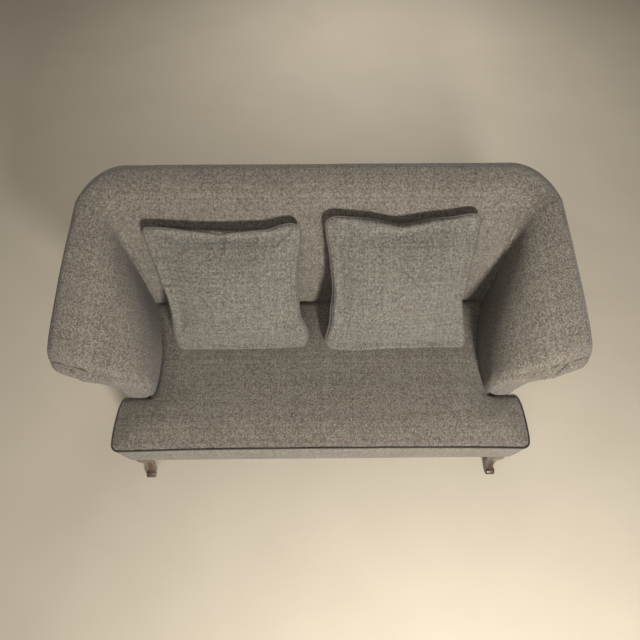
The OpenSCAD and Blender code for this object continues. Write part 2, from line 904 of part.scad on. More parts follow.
module spring_clips() {
    color(steel)
        for (i = [0:spring_count - 1]) for (y = [spring_start, spring_end - clip_l])
            translate([spring_x(i) - clip_w / 2, y, deck_z])
                difference() {
                    cube([clip_w, clip_l, wire_t + clip_t]);
                    translate([(clip_w - wire_t) / 2 - gap, -over, -over])
                        cube([wire_t + 2 * gap, clip_l + 2 * over, wire_t + over + gap / 2]);
                }
}
module seat_hessian() {
    rows = seat_rows(panel_in + gap);
    color(jute)
        translate([0, 0, hessian_z])
            linear_extrude(hessian_t)
                polygon(concat([for (r = rows) [-r[1], r[0]]], [for (r = reversed(rows)) [r[1], r[0]]]));
}

// Dust cover under the frame, cut round the legs
dust_t = 1.2;
module dust_cover() {
    m = rail_t / 2;
    left = [
        [-(block_x - m), block_y + m],
        [-(block_x - m), arm_y],
        [rear_t1[0] + m, rear_t1[1]],
        [rear_t2[0], rear_t2[1] - m]
    ];
    hole = leg_w + 2 * gap;
    color(welt_dark)
        difference() {
            translate([0, 0, apron_z])
                linear_extrude(dust_t)
                    polygon(concat(left, reversed([for (p = left) [-p[0], p[1]]])));
            for (p = [front_leg_at, rear_leg_at]) for (side = [-1, 1])
                translate([side * p[0] - hole / 2, p[1] - hole / 2, apron_z - over])
                    cube([hole, hole, dust_t + 2 * over]);
        }
}

// Legs: share of the height, then shares of outward and forward travel, width and depth
glide_t = 3;
glide_r = 9;
toe_r = 15;
leg_splay = 40;
leg_sweep = 27;
front_leg_shares = [
    [1, 0, 0, 0.96, 0.96], [0.84, 0.1, 0.12, 0.95, 0.96], [0.62, 0.35, 0, 0.78, 0.78],
    [0.4, 0.62, -0.1, 0.63, 0.6], [0.2, 0.86, 0.15, 0.56, 0.52], [0.1, 0.95, 0.5, 0.6, 0.62],
    [0.04, 1, 0.85, 0.68, 0.8], [0, 1, 0.95, 0.64, 0.76]
];
rear_splay = 25;
rear_sweep = 55;
rear_leg_shares = [
    [1, 0, 0, 0.96, 0.96], [0.7, 0.1, 0.05, 0.9, 0.9], [0.4, 0.4, 0.35, 0.72, 0.72],
    [0.15, 0.75, 0.75, 0.6, 0.6], [0, 1, 1, 0.56, 0.56]
];
leg_sides = 16;
squareness = 0.6;
function powered(v) = sign(v) * pow(abs(v), squareness);
module leg(at, shares, splay, sweep) {
    color(walnut)
        difference() {
            tube(
                [
                    for (s = shares)
                        [
                            for (k = [0:leg_sides - 1])
                                let (a = 360 * (k + 0.5) / leg_sides)
                                [
                                    at[0] - splay * s[1] + leg_w / 2 * s[3] * powered(cos(a)),
                                    at[1] + sweep * s[2] + leg_w / 2 * s[4] * powered(sin(a)),
                                    glide_t + s[0] * (rail_z - glide_t)
                                ]
                        ]
                ],
                false
            );
            bolts(joint_gap);
        }
}
toe_w = 32;
module front_leg() {
    leg(front_leg_at, front_leg_shares, leg_splay, -leg_sweep);
    color(walnut)
        translate([front_leg_at[0] - leg_splay, -overall_d / 2 + toe_r, glide_t + toe_r])
            rotate([0, 90, 0])
                cylinder(h = toe_w, r = toe_r, center = true, $fn = 48);
}
module rear_leg() {
    leg(rear_leg_at, rear_leg_shares, rear_splay, rear_sweep);
}
module leg_glides() {
    front = front_leg_at - [leg_splay, leg_sweep];
    rear = rear_leg_at + [-rear_splay, rear_sweep];
    color(steel)
        for (p = [front, rear]) for (side = [-1, 1])
            translate([side * p[0], p[1], 0])
                cylinder(h = glide_t, r = glide_r, $fn = 32);
}

// Pillows, square to the sofa. Local axes: X across, Y rearwards through the thickness, Z up.
// The two are alike and share the width that the spaces leave.
pillow_w = (arm_gap_rear - left_pillow_space - middle_space - right_pillow_space) / 2;
left_pillow_x = arm_gap_rear / 2 - left_pillow_space - pillow_w / 2;
right_pillow_x = arm_gap_rear / 2 - right_pillow_space - pillow_w / 2;
pillow_steps = 5;
pillow_draw_share = 0.065;
pillow_power = 0.7;
pillow_rows = [for (i = [-pillow_steps:pillow_steps]) sin(90 * i / pillow_steps)];
inner_rows = [for (i = [1:2 * pillow_steps - 1]) pillow_rows[i]];
function fullness(s, r) = pow(max(0, (1 - s * s) * (1 - r * r)), pillow_power);
function pillow_point(s, r, y) = [
    pillow_w / 2 * s * (1 - pillow_draw_share * (1 - r * r)),
    y,
    pillow_h / 2 * r * (1 - pillow_draw_share * (1 - s * s))
];
panel_ease = 0.5;
half_t = pillow_t / 2 - cover_t - gap / 2;
function panel_out(s, r) = gap / 2 + cover_t + half_t * fullness(s, r);
function panel_inner(s, r) = gap / 2 + (half_t - panel_ease) * fullness(s, r);
function pillow_surface(rows, side, inner) = [
    for (r = rows)
        [for (s = rows) pillow_point(s, r, side * (inner ? panel_inner(s, r) : panel_out(s, r)))]
];
function insert_surface(side) = [
    for (r = inner_rows) [for (s = inner_rows) pillow_point(s, r, side * (panel_inner(s, r) - gap))]
];
function leaned(p, lean) = [p[0], p[1] * cos(lean) + p[2] * sin(lean), p[2] * cos(lean) - p[1] * sin(lean)];

// Cord round the seam of a pillow
function pillow_cord() =
    let (
        n = 2 * pillow_steps,
        edge = concat(
            [for (i = [0:n - 1]) [pillow_rows[i], -1]],
            [for (i = [0:n - 1]) [1, pillow_rows[i]]],
            [for (i = [n:-1:1]) [pillow_rows[i], 1]],
            [for (i = [n:-1:1]) [-1, pillow_rows[i]]]
        ),
        out = welt_r + 2 * gap,
        path = [
            for (e = edge)
                pillow_point(e[0], e[1], 0)
                    + out * [abs(e[0]) == 1 ? e[0] : 0, 0, abs(e[1]) == 1 ? e[1] : 0]
        ]
    )
    cord_rings(path, welt_r, [0, 1, 0]);

// Place of a pillow: it stands on the seat and leans on the back, clear of both
function rear_points(lean) = [
    for (p = concat(flat_list(pillow_surface(pillow_rows, 1, false)), flat_list(pillow_cord())))
        leaned(p, lean)
];
rest_points = 9;
rest_line = [for (i = [0:rest_points - 1]) let (p = section(back_table, 0, round_shares)[i]) [p[1], p[0]]];
pillow_gap = 0.6;
pillow_foot = 116;
function seat_height_at(y) = seat_top_at(0, y, seat_x) - panel_sink;
function lowest(points) = points[search(min([for (p = points) p[2]]), [for (p = points) p[2]])[0]];
function pillow_place(lean) =
    let (
        points = rear_points(lean),
        low = lowest(points),
        z = seat_height_at(back_y - pillow_foot + low[1]) - low[2] + pillow_gap,
        y = back_y + min([for (p = points) lookup(z + p[2], rest_line) - p[1]]) - pillow_gap
    )
    [y, z];

module placed_pillow(x, lean) {
    place = pillow_place(lean);
    translate([x, place[0], place[1]])
        rotate([-lean, 0, 0])
            children();
}
module pillow_front_panel() {
    color(pillow_fabric)
        slab(pillow_surface(pillow_rows, -1, false), pillow_surface(pillow_rows, -1, true));
}
module pillow_back_panel() {
    color(pillow_fabric)
        slab(pillow_surface(pillow_rows, 1, true), pillow_surface(pillow_rows, 1, false));
}
module pillow_insert() {
    color(foam)
        slab(insert_surface(-1), insert_surface(1));
}
module pillow_welt() {
    color(pillow_fabric)
        tube(pillow_cord(), true);
}

front_rail();
side_rail();  // left_side_rail
mirror([1, 0, 0]) side_rail();  // right_side_rail
rear_rail();
back_seat_rail();
seat_braces();
front_corner_blocks();
rear_corner_blocks();
corner_screws();
frame_tenons();
front_leg();  // front_left_leg
mirror([1, 0, 0]) front_leg();  // front_right_leg
rear_leg();  // rear_left_leg
mirror([1, 0, 0]) rear_leg();  // rear_right_leg
leg_bolts();
leg_glides();
arm_seat_rail();  // left_arm_seat_rail
mirror([1, 0, 0]) arm_seat_rail();  // right_arm_seat_rail
arm_post(front_post_y);  // left_front_arm_post
mirror([1, 0, 0]) arm_post(front_post_y);  // right_front_arm_post
arm_post(rear_post_y);  // left_rear_arm_post
mirror([1, 0, 0]) arm_post(rear_post_y);  // right_rear_arm_post
arm_board();  // left_arm_board
mirror([1, 0, 0]) arm_board();  // right_arm_board
back_post(-post_x);  // left_back_post
back_post(0);  // centre_back_post
back_post(post_x);  // right_back_post
back_top_rail();
seat_springs();
spring_clips();
seat_hessian();
seat_pad();
seat_top_panel();
seat_border();
seat_welt();
back_webbing();
back_pad();
back_cover();
outside_back_board();
arm_pad();  // left_arm_pad
mirror([1, 0, 0]) arm_pad();  // right_arm_pad
arm_cover();  // left_arm_cover
mirror([1, 0, 0]) arm_cover();  // right_arm_cover
arm_outside_board();  // left_outside_arm_board
mirror([1, 0, 0]) arm_outside_board();  // right_outside_arm_board
dust_cover();
placed_pillow(-left_pillow_x, left_lean) pillow_front_panel();  // left_pillow_front_panel
placed_pillow(-left_pillow_x, left_lean) pillow_back_panel();  // left_pillow_back_panel
placed_pillow(-left_pillow_x, left_lean) pillow_insert();  // left_pillow_insert
placed_pillow(-left_pillow_x, left_lean) pillow_welt();  // left_pillow_welt
placed_pillow(right_pillow_x, right_lean) pillow_front_panel();  // right_pillow_front_panel
placed_pillow(right_pillow_x, right_lean) pillow_back_panel();  // right_pillow_back_panel
placed_pillow(right_pillow_x, right_lean) pillow_insert();  // right_pillow_insert
placed_pillow(right_pillow_x, right_lean) pillow_welt();  // right_pillow_welt
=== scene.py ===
# %% [markdown]
# # A rolled arm sofa
# One winged shell of padded cloth makes the arms and the back, and curls over into a roll. A tight
# T-shaped seat with a dark cord fills it, and two loose pillows lean on the back. The frame inside
# comes from the CAD model. It is loaded first and never moved, so each new piece is made in the
# same frame and hides the plain solid that it stands for.

import json
import math

import bmesh
import bpy
import numpy as np
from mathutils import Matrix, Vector, noise


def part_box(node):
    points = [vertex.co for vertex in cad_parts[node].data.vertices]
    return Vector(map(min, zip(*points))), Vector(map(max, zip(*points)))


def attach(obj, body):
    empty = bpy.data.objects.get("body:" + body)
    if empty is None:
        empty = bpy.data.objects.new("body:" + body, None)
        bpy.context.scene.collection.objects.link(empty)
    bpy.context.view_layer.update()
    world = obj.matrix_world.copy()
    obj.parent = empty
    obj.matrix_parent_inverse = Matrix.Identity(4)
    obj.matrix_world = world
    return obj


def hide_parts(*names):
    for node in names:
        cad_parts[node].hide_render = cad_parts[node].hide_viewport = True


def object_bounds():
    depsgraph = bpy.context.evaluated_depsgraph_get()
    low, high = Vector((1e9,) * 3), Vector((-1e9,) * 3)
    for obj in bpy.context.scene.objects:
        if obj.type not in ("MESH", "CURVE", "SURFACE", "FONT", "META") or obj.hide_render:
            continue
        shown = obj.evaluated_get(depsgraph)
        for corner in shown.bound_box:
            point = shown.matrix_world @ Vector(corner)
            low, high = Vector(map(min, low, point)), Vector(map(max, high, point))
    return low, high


MM = 0.001
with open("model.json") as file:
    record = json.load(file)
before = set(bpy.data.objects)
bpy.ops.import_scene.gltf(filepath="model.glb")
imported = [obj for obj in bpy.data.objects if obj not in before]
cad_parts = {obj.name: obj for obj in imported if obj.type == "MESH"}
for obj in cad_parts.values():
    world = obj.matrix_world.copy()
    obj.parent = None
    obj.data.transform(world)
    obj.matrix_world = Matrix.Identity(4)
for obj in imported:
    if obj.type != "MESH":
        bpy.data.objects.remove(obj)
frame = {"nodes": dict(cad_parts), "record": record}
nodes = frame["nodes"]
cad_low, cad_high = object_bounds()
print("CAD box", [round(b - a, 4) for a, b in zip(cad_low, cad_high)])

# %% [markdown]
# ## The camera
# The view looks steeply down into the seat. The lens and the height were worked out from the
# courses of the wall behind and from the sofa's outline. A turn of zero looks straight down.

# %% Camera
camera_data = bpy.data.cameras.new("camera")
camera_data.lens = 26.06
camera_data.sensor_width = 36
camera = bpy.data.objects.new("camera", camera_data)
camera.location = (-0.0061, -0.7543, 2.0236)
camera.rotation_euler = (math.radians(27.26), 0, math.radians(-0.5))
bpy.context.scene.collection.objects.link(camera)
bpy.context.scene.camera = camera
print("camera", tuple(round(c, 3) for c in camera.location), "lens", camera_data.lens)

# %% [markdown]
# ## Light
# A soft box in front, a little to the right and no higher than the camera, throws the pillows'
# shadows up the back. A weaker one and a pale world fill the shade, and a third stands behind.

# %% Lamps and world
AIM = Vector((0, 0.05, 0.45))


def soft_box(name, place, size, watts):
    lamp = bpy.data.lights.new(name, "AREA")
    lamp.shape = "DISK"
    lamp.size = size
    lamp.energy = watts
    thing = bpy.data.objects.new(name, lamp)
    thing.location = place
    thing.rotation_euler = (AIM - Vector(place)).to_track_quat("-Z", "Y").to_euler()
    bpy.context.scene.collection.objects.link(thing)


soft_box("soft_box_key", (0.72, -2.4, 1.65), 0.4, 114)
soft_box("soft_box_fill", (-0.5, -1.5, 3.0), 1.2, 26)
soft_box("soft_box_behind", (0.4, 3.2, 2.0), 1.4, 58)
world = bpy.data.worlds.new("pale_room")
bpy.context.scene.world = world
world.use_nodes = True
world.node_tree.nodes["Background"].inputs["Color"].default_value = (1.0, 0.98, 0.94, 1)
world.node_tree.nodes["Background"].inputs["Strength"].default_value = 0.15
bpy.context.scene.view_settings.view_transform = "Standard"

# %% [markdown]
# ## Writing materials as sums
# A material is a small network, which reads better as arithmetic. `Flow` wraps one socket and
# turns `+ - * /` into Math nodes. `Maker` adds any other node from its kind and what goes in.


# %% Flow and Maker
class Flow:
    """A number or colour that varies over a surface, with arithmetic."""

    def __init__(self, maker, socket):
        self.maker, self.socket = maker, socket


def operation(kind, swapped=False):
    def method(self, *others):
        values = (*others, self) if swapped else (self, *others)
        return self.maker.add("ShaderNodeMath", dict(enumerate(values)), operation=kind)

    return method


OPERATIONS = {
    "__add__": "ADD", "__radd__": "ADD", "__sub__": "SUBTRACT", "__mul__": "MULTIPLY",
    "__rmul__": "MULTIPLY", "__truediv__": "DIVIDE", "floor": "FLOOR", "fraction": "FRACT",
    "modulo": "MODULO", "sine": "SINE", "absolute": "ABSOLUTE",
}
for method_name, kind in OPERATIONS.items():
    setattr(Flow, method_name, operation(kind))
Flow.__rsub__ = operation("SUBTRACT", swapped=True)


class Maker:
    """Builds one material's network."""

    def __init__(self, name, roughness, metallic=0.0, sheen=0.0):
        self.material = bpy.data.materials.new(name)
        self.material.use_nodes = True
        self.tree = self.material.node_tree
        self.shader = self.tree.nodes["Principled BSDF"]
        self.shader.inputs["Roughness"].default_value = roughness
        self.shader.inputs["Metallic"].default_value = metallic
        self.shader.inputs["Sheen Weight"].default_value = sheen
        self.shader.inputs["Sheen Roughness"].default_value = 0.6

    def add(self, kind, sockets=None, out=0, **settings):
        node = self.tree.nodes.new(kind)
        for key, value in settings.items():
            setattr(node, key, value)
        for key, value in (sockets or {}).items():
            if isinstance(value, Flow):
                self.tree.links.new(value.socket, node.inputs[key])
            else:
                node.inputs[key].default_value = value
        return Flow(self, node.outputs[out])

    def split(self, vector):
        parts = self.add("ShaderNodeSeparateXYZ", {0: vector}).socket.node
        return [Flow(self, parts.outputs[i]) for i in range(3)]

    def join(self, x, y, z=0.0):
        return self.add("ShaderNodeCombineXYZ", {0: x, 1: y, 2: z})

    def place(self):
        return self.add("ShaderNodeTexCoord", out="Object")

    def map(self):
        """Metres along and round the piece, from its own map."""
        return self.split(self.add("ShaderNodeUVMap", uv_map="cloth"))[:2]

    def turned(self, vector, location=(0, 0, 0), angles=(0, 0, 0), scale=(1, 1, 1)):
        sockets = {"Vector": vector, "Location": location, "Rotation": angles, "Scale": scale}
        return self.add("ShaderNodeMapping", sockets)

    def cloud(self, vector, scale, detail=2.0, roughness=0.5):
        sockets = {"Vector": vector, "Scale": scale, "Detail": detail, "Roughness": roughness}
        return self.add("ShaderNodeTexNoise", sockets)

    def chance(self, x, y):
        return self.add("ShaderNodeTexWhiteNoise", {"Vector": self.join(x, y)})

    def ramp(self, value, stops):
        flow = self.add("ShaderNodeValToRGB", {0: value})
        ramp = flow.socket.node.color_ramp.elements
        while len(ramp) < len(stops):
            ramp.new(1)
        for stop, (place, colour) in zip(ramp, stops):
            stop.position = place
            stop.color = (*colour, 1)
        return flow

    def mix(self, share, first, second):
        sockets = {"Factor": share, 6: (*first, 1), 7: (*second, 1)}
        return self.add("ShaderNodeMix", sockets, 2, data_type="RGBA")

    def finish(self, colour, height=None, distance=0.0005, strength=1.0, roughness=None):
        bump = None
        if height is not None:
            sockets = {"Height": height, "Distance": distance, "Strength": strength}
            bump = self.add("ShaderNodeBump", sockets)
        for key, flow in (("Base Color", colour), ("Normal", bump), ("Roughness", roughness)):
            if flow is not None:
                self.tree.links.new(flow.socket, self.shader.inputs[key])
        return self.material


print("material helpers ready")

# %% [markdown]
# ## The cloth
# The cover is a coarse plain weave of mixed grey and brown yarns with light slubs. Each yarn gets
# its own tone from a random number, the tone drifts along it as a slub does, and a chequer says
# which of the two yarns lies on top. The pattern reads the piece's own map in metres, so that it
# follows the rolls. A pillow is nearly flat, so there it reads the turned place instead.

# %% Weave
YARN = 3.0 * MM
# The yarns' colours from dark to pale, and where each stands on the scale of tones
YARNS = [
    (0.06, (0.036, 0.028, 0.021)), (0.34, (0.105, 0.079, 0.053)), (0.52, (0.152, 0.125, 0.091)),
    (0.72, (0.185, 0.169, 0.135)), (1.0, (0.33, 0.285, 0.215)),
]


def weave(name, along, tint=(1, 1, 1)):
    """Plain weave. `along` gives (across, down) in metres as two flows of the maker."""
    kit = Maker(name, 0.9, sheen=0.1)
    across, down = along(kit)
    x, y = across / YARN, down / YARN
    column, row = x.floor(), y.floor()
    warp_slub = kit.cloud(kit.join(column * 3.7, y * 0.45), 1.0, 2.0)
    weft_slub = kit.cloud(kit.join(x * 0.45, row * 3.7, 40.0), 1.0, 2.0)
    warp_tone = warp_slub * 0.7 + kit.chance(column, 3.0) * 0.2 - 0.12
    weft_tone = weft_slub * 0.7 + kit.chance(5.0, row) * 0.2 + 0.16
    chequer = (column + row).modulo(2.0).absolute()
    tone = warp_tone * chequer + weft_tone * (1 - chequer)
    fleck = kit.chance(column, row) * 0.6 - 0.3
    drift = kit.cloud(kit.join(across, down), 5.0, 2.0) * 0.16 - 0.08
    stops = [(place, tuple(c * t for c, t in zip(colour, tint))) for place, colour in YARNS]
    colour = kit.ramp(tone + fleck + drift, stops)
    warp_round = (x.fraction() * math.pi).sine()
    weft_round = (y.fraction() * math.pi).sine()
    height = warp_round * chequer + weft_round * (1 - chequer) + fleck
    return kit.finish(colour, height, 0.0009, 0.7)


cover_cloth = weave("cover_cloth", Maker.map)
print(cover_cloth.name, "yarn", YARN, "m")

# %% [markdown]
# ## The cords
# The seat's cord has a darker cloth. It is so thin that only its colour and the ribs of its
# bias-cut cover show.

# %% Cord cloth
def cord_cloth(name, dark, light):
    kit = Maker(name, 0.85, sheen=0.05)
    along, around = kit.map()
    rib = ((along + around * 0.7) / (1.6 * MM) * math.pi).sine().absolute()
    wear = kit.cloud(kit.place(), 60.0, 3.0)
    # The colour is darker in the grooves between the ribs, as painted shade; the cloud also varies
    # it at random.
    return kit.finish(kit.mix(rib * 0.5 + wear * 0.5, dark, light), rib, 0.0004, 0.7)


seat_cord_cloth = cord_cloth("seat_cord_cloth", (0.012, 0.009, 0.007), (0.046, 0.036, 0.028))
print(seat_cord_cloth.name)

# %% [markdown]
# ## Shape tables
# The padded shell has three cross-sections: the front end of an arm, its rear end, and the back.
# Each runs from the crease at the seat, up and over the roll, and down to the bottom edge outside.
# The tables are shares of a reach and a rise, and a smooth curve runs through them.

# %% Sizes and sections
APRON_Z = 276 * MM
DECK_Z = 373 * MM
SEAT_Y, BACK_Y, ARM_Y = -430 * MM, 165.5 * MM, -228 * MM
GAP_FRONT, GAP_REAR = 1211.75 * MM, 1309.75 * MM
REACH = {"front": 270.5 * MM, "rear": 175 * MM, "back": 283 * MM}
TOP = {"front": 666 * MM, "rear": 864 * MM, "back": 893 * MM}
CORNER_R, INNER_R = 154 * MM, 6 * MM
# The corner's radius reaches its full size at this share of the back's reach
FULL_TURN, ROUNDS_LATE = 0.83, 1.5
ARM_BOW, BOW_END = 26 * MM, 0.45
SLANT = 0.235
RISE_POWER = 0.78
SHARES = {
    "back": [
        (0, 0), (0.02, 0.19), (0.13, 0.44), (0.285, 0.675), (0.435, 0.845), (0.6, 0.958),
        (0.78, 1), (0.93, 0.96), (1, 0.856), (0.995, 0.7), (0.97, 0.54), (0.935, 0.36),
        (0.895, 0.13), (0.87, -1),
    ],
    "rear": [
        (0, 0), (0.005, 0.21), (0.045, 0.47), (0.12, 0.69), (0.24, 0.853), (0.48, 0.963),
        (0.783, 1), (0.95, 0.957), (1, 0.853), (0.97, 0.717), (0.9, 0.58), (0.81, 0.38),
        (0.71, 0.157), (0.605, -1),
    ],
    "front": [
        (0, 0), (-0.052, 0.276), (-0.06, 0.49), (0.074, 0.727), (0.333, 0.867), (0.626, 0.966),
        (0.874, 1), (1, 0.894), (0.907, 0.761), (0.741, 0.69), (0.537, 0.587), (0.389, 0.433),
        (0.326, 0.195), (0.311, -1),
    ],
}
LAST = len(SHARES["back"]) - 1
STEM = SHARES["front"][LAST][0] * REACH["front"]


def section_table(name):
    rows = []
    for out, up in SHARES[name]:
        rise = DECK_Z - APRON_Z if up < 0 else TOP[name] - DECK_Z
        rows.append((out * REACH[name], DECK_Z + up * rise))
    return np.array(rows)


TABLES = {name: section_table(name) for name in SHARES}


def lengths_along(line):
    return np.concatenate([[0], np.cumsum(np.linalg.norm(np.diff(line, axis=0), axis=1))])


def smooth_at(table, steps):
    """Points of the smooth curve through a table, at the given steps."""
    i = np.minimum(steps.astype(int), LAST - 1)
    f = (steps - i)[..., None]
    b, c = table[i], table[i + 1]
    a = np.where((i > 0)[..., None], table[np.maximum(i - 1, 0)], 2 * b - c)
    d = np.where((i + 2 <= LAST)[..., None], table[np.minimum(i + 2, LAST)], 2 * c - b)
    cubic = (2 * a - 5 * b + 4 * c - d) * f**2 + (3 * b - a - 3 * c + d) * f**3
    return (2 * b + (c - a) * f + cubic) / 2


print("sections", {name: table.max(0).round(3).tolist() for name, table in TABLES.items()})

# %% [markdown]
# ## One surface for arms and back
# A point of the shell has two numbers: how far round the cross-section it is, and how far along
# the sofa. Along runs 0 to 1 on the arm, 1 to 2 round the corner and 2 to 3 to the middle of the
# back. In plan each step runs straight, turns on an arc, and runs straight again, climbing.

# %% Shell surface
def shell_points(steps, along):
    """(x, y, z) of the left half of the shell for arrays of section steps and places along."""
    steps, along = np.broadcast_arrays(np.asarray(steps, float), np.asarray(along, float))
    front, rear, back = (smooth_at(TABLES[n], steps) for n in ("front", "rear", "back"))
    slanted = ARM_Y + SLANT * np.maximum(front[..., 0] - STEM, 0)
    start = np.stack([-(GAP_FRONT / 2 + front[..., 0]), slanted], -1)
    end = np.stack([-(GAP_REAR / 2 + rear[..., 0]), np.full(steps.shape, BACK_Y)], -1)
    run = (end - start) / (end - start)[..., 1:]
    corner = start + run * (BACK_Y + back[..., :1] - start[..., 1:])
    share = np.clip(back[..., :1] / (FULL_TURN * REACH["back"]), 0, 1) ** ROUNDS_LATE
    radius = INNER_R + (CORNER_R - INNER_R) * share
    turn = np.arctan2(1, run[..., :1])
    tangent = radius * np.tan(turn / 2)
    way = run / np.linalg.norm(run, axis=-1, keepdims=True)
    first = corner - way * tangent
    centre = first + np.stack([way[..., 1], -way[..., 0]], -1) * radius
    second = corner + np.concatenate([tangent, 0 * tangent], -1)
    u = along[..., None]
    bow = ARM_BOW * np.sin(np.pi * np.clip(u, 0, 1))
    bow = bow * np.maximum(0, 1 - steps[..., None] / (BOW_END * LAST))
    arm = start + (first - start) * u + np.concatenate([bow, 0 * bow], -1)
    w = turn * (u - 1)
    spoke = first - centre
    sweep_x = np.cos(w) * spoke[..., :1] + np.sin(w) * spoke[..., 1:]
    sweep_y = np.cos(w) * spoke[..., 1:] - np.sin(w) * spoke[..., :1]
    arc = centre + np.concatenate([sweep_x, sweep_y], -1)
    wall = np.concatenate([second[..., :1] * (3 - u), second[..., 1:]], -1)
    plan = np.where(u <= 1, arm, np.where(u < 2, arc, wall))
    climb = np.clip(along - 1, 0, 1)
    climb = climb * climb * (3 - 2 * climb)
    z_arm = front[..., 1] + (rear[..., 1] - front[..., 1]) * np.clip(along, 0, 1) ** RISE_POWER
    z = np.where(along <= 1, z_arm, rear[..., 1] + (back[..., 1] - rear[..., 1]) * climb)
    return np.concatenate([plan, z[..., None]], -1)


# Half of the section's steps, spaced by length; the other half mirrors them about the roll's tip.
# One of them is moved to where the arm's front begins
TIP = LAST / 2
dense = np.linspace(0, TIP, 400)
line = smooth_at(TABLES["front"], dense)
length = lengths_along(line)
half_steps = np.interp(np.linspace(0, length[-1], 66), length, dense)
CAP_FROM = 0.7
half_steps[np.argmin(abs(half_steps - CAP_FROM))] = CAP_FROM
ROUND = np.concatenate([half_steps, LAST - half_steps[-2::-1]])
print("section steps", len(ROUND), "roll tip at step", TIP)

# %% [markdown]
# ## From points to pieces
# `piece` makes a mesh from points, with its finish and the map that the weave follows. `soften`
# moves a surface along its normals, for creases and slight unevenness. `shaped` applies a
# modifier, `hollow` gives a cover its thickness, and `dress` says what a piece stands for.

# %% Piece helpers
def piece(name, points, faces, material, flat_map=None):
    mesh = bpy.data.meshes.new(name)
    mesh.from_pydata([tuple(p) for p in points], [], [tuple(f) for f in faces])
    mesh.validate()
    mesh.materials.append(material)
    thing = bpy.data.objects.new(name, mesh)
    bpy.context.scene.collection.objects.link(thing)
    if flat_map is not None:
        layer = mesh.uv_layers.new(name="cloth")
        index = np.zeros(len(mesh.loops), int)
        mesh.loops.foreach_get("vertex_index", index)
        layer.data.foreach_set("uv", np.asarray(flat_map, float)[index].ravel())
    mesh.polygons.foreach_set("use_smooth", [True] * len(mesh.polygons))
    mesh.update()
    return thing


def vectors(rows, name):
    flat = np.zeros(len(rows) * 3)
    rows.foreach_get(name, flat)
    return flat.reshape(-1, 3)


def points_of(thing):
    return vectors(thing.data.vertices, "co")


def set_points(thing, points):
    thing.data.vertices.foreach_set("co", np.asarray(points, float).ravel())
    thing.data.update()


def soften(thing, lift):
    """Moves each point along its normal by lift, in metres."""
    normals = vectors(thing.data.vertex_normals, "vector")
    set_points(thing, points_of(thing) + normals * np.asarray(lift)[:, None])


def waves(points, size, seed):
    """Smooth random values from -1 to 1 over the points, size metres across."""
    offset = Vector((seed * 7.31, seed * 3.17, seed * 5.53))
    return np.array([noise.noise(Vector(p) / size + offset) for p in points])


AS_IS, TURNED, BEHIND = (0, 1, 2, 3), (3, 2, 1, 0), (0, 3, 2, 1)


def numbers(rows, columns, start=0):
    """The numbers of the points of a grid, row by row."""
    return start + np.arange(rows * columns).reshape(rows, columns)


def squares(ids, order=AS_IS):
    """The squares between the points of a grid, from the points' numbers."""
    corners = ids[:-1, :-1], ids[1:, :-1], ids[1:, 1:], ids[:-1, 1:]
    return np.stack([corners[k] for k in order], -1).reshape(-1, 4).tolist()


def only(thing):
    bpy.ops.object.select_all(action="DESELECT")
    thing.select_set(True)
    bpy.context.view_layer.objects.active = thing


def shaped(thing, kind, **settings):
    """Adds a modifier of a kind with its settings, and applies it."""
    only(thing)
    modifier = thing.modifiers.new(kind.lower(), kind)
    for key, value in settings.items():
        setattr(modifier, key, value)
    bpy.ops.object.modifier_apply(modifier=modifier.name)
    return thing


def hollow(thing, thickness=3 * MM):
    return shaped(thing, "SOLIDIFY", thickness=thickness, offset=-1, use_even_offset=False)


def all_faces(thing, action, **settings):
    """Runs one mesh operator on the whole of a piece, in edit mode."""
    only(thing)
    bpy.ops.object.mode_set(mode="EDIT")
    bpy.ops.mesh.select_all(action="SELECT")
    action(**settings)
    bpy.ops.object.mode_set(mode="OBJECT")


def bent_smooth(thing, angle):
    only(thing)
    bpy.ops.object.shade_smooth_by_angle(angle=math.radians(angle))


def dress(thing, body, slot, *stands_for):
    """Gives a piece its body and hides the plain solids that it stands for. The slot is not used.
    """
    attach(thing, body)
    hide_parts(*stands_for)
    print(thing.name, len(thing.data.polygons), "faces")


def arc_map(grid):
    """Lengths along and round a grid of points, in metres, for the weave."""
    steps = [np.linalg.norm(np.diff(grid, axis=k), axis=2) for k in (0, 1)]
    return [np.insert(np.cumsum(step, axis=k), 0, 0, axis=k) for k, step in enumerate(steps)]


print("piece helpers ready")

# %% [markdown]
# ## The winged shell
# Over the roll and round the shoulders the cover shows no seam, so arms and back are one surface
# from the front of one arm to the front of the other. Each front is filled with rows that join the
# two sides of the section. They are pushed forward by a quarter round that follows the distance
# from the edge, so the edge is soft all along.

# %% Shell grid
PARTS = [start + np.linspace(0, 1, count) for start, count in enumerate((62, 28, 48))]
HALF_RUN = np.concatenate([PARTS[0], PARTS[1][1:], PARTS[2][1:]])
RUN = np.concatenate([HALF_RUN, HALF_RUN[-2::-1]])
FRONT_ROWS = 22
NOSE, LOW_NOSE = 24 * MM, 6 * MM
# The front edge is a quarter ellipse. It begins on the arm, DRAWN_RUN behind the front's plane
DRAWN_RUN, EDGE_W = 42 * MM, 43 * MM
EDGE_L = DRAWN_RUN + NOSE
DRAWN_IN = EDGE_W * (1 - math.sqrt(1 - (DRAWN_RUN / EDGE_L) ** 2))


def distance_to_line(points, line):
    """Least distance of each point from a run of straight pieces, in a plane."""
    a, b = line[:-1], line[1:]
    span = b - a
    t = ((points[:, None] - a) * span).sum(-1) / np.maximum((span**2).sum(-1), 1e-12)
    near = a + np.clip(t, 0, 1)[..., None] * span
    return np.linalg.norm(points[:, None] - near, axis=-1).min(1)


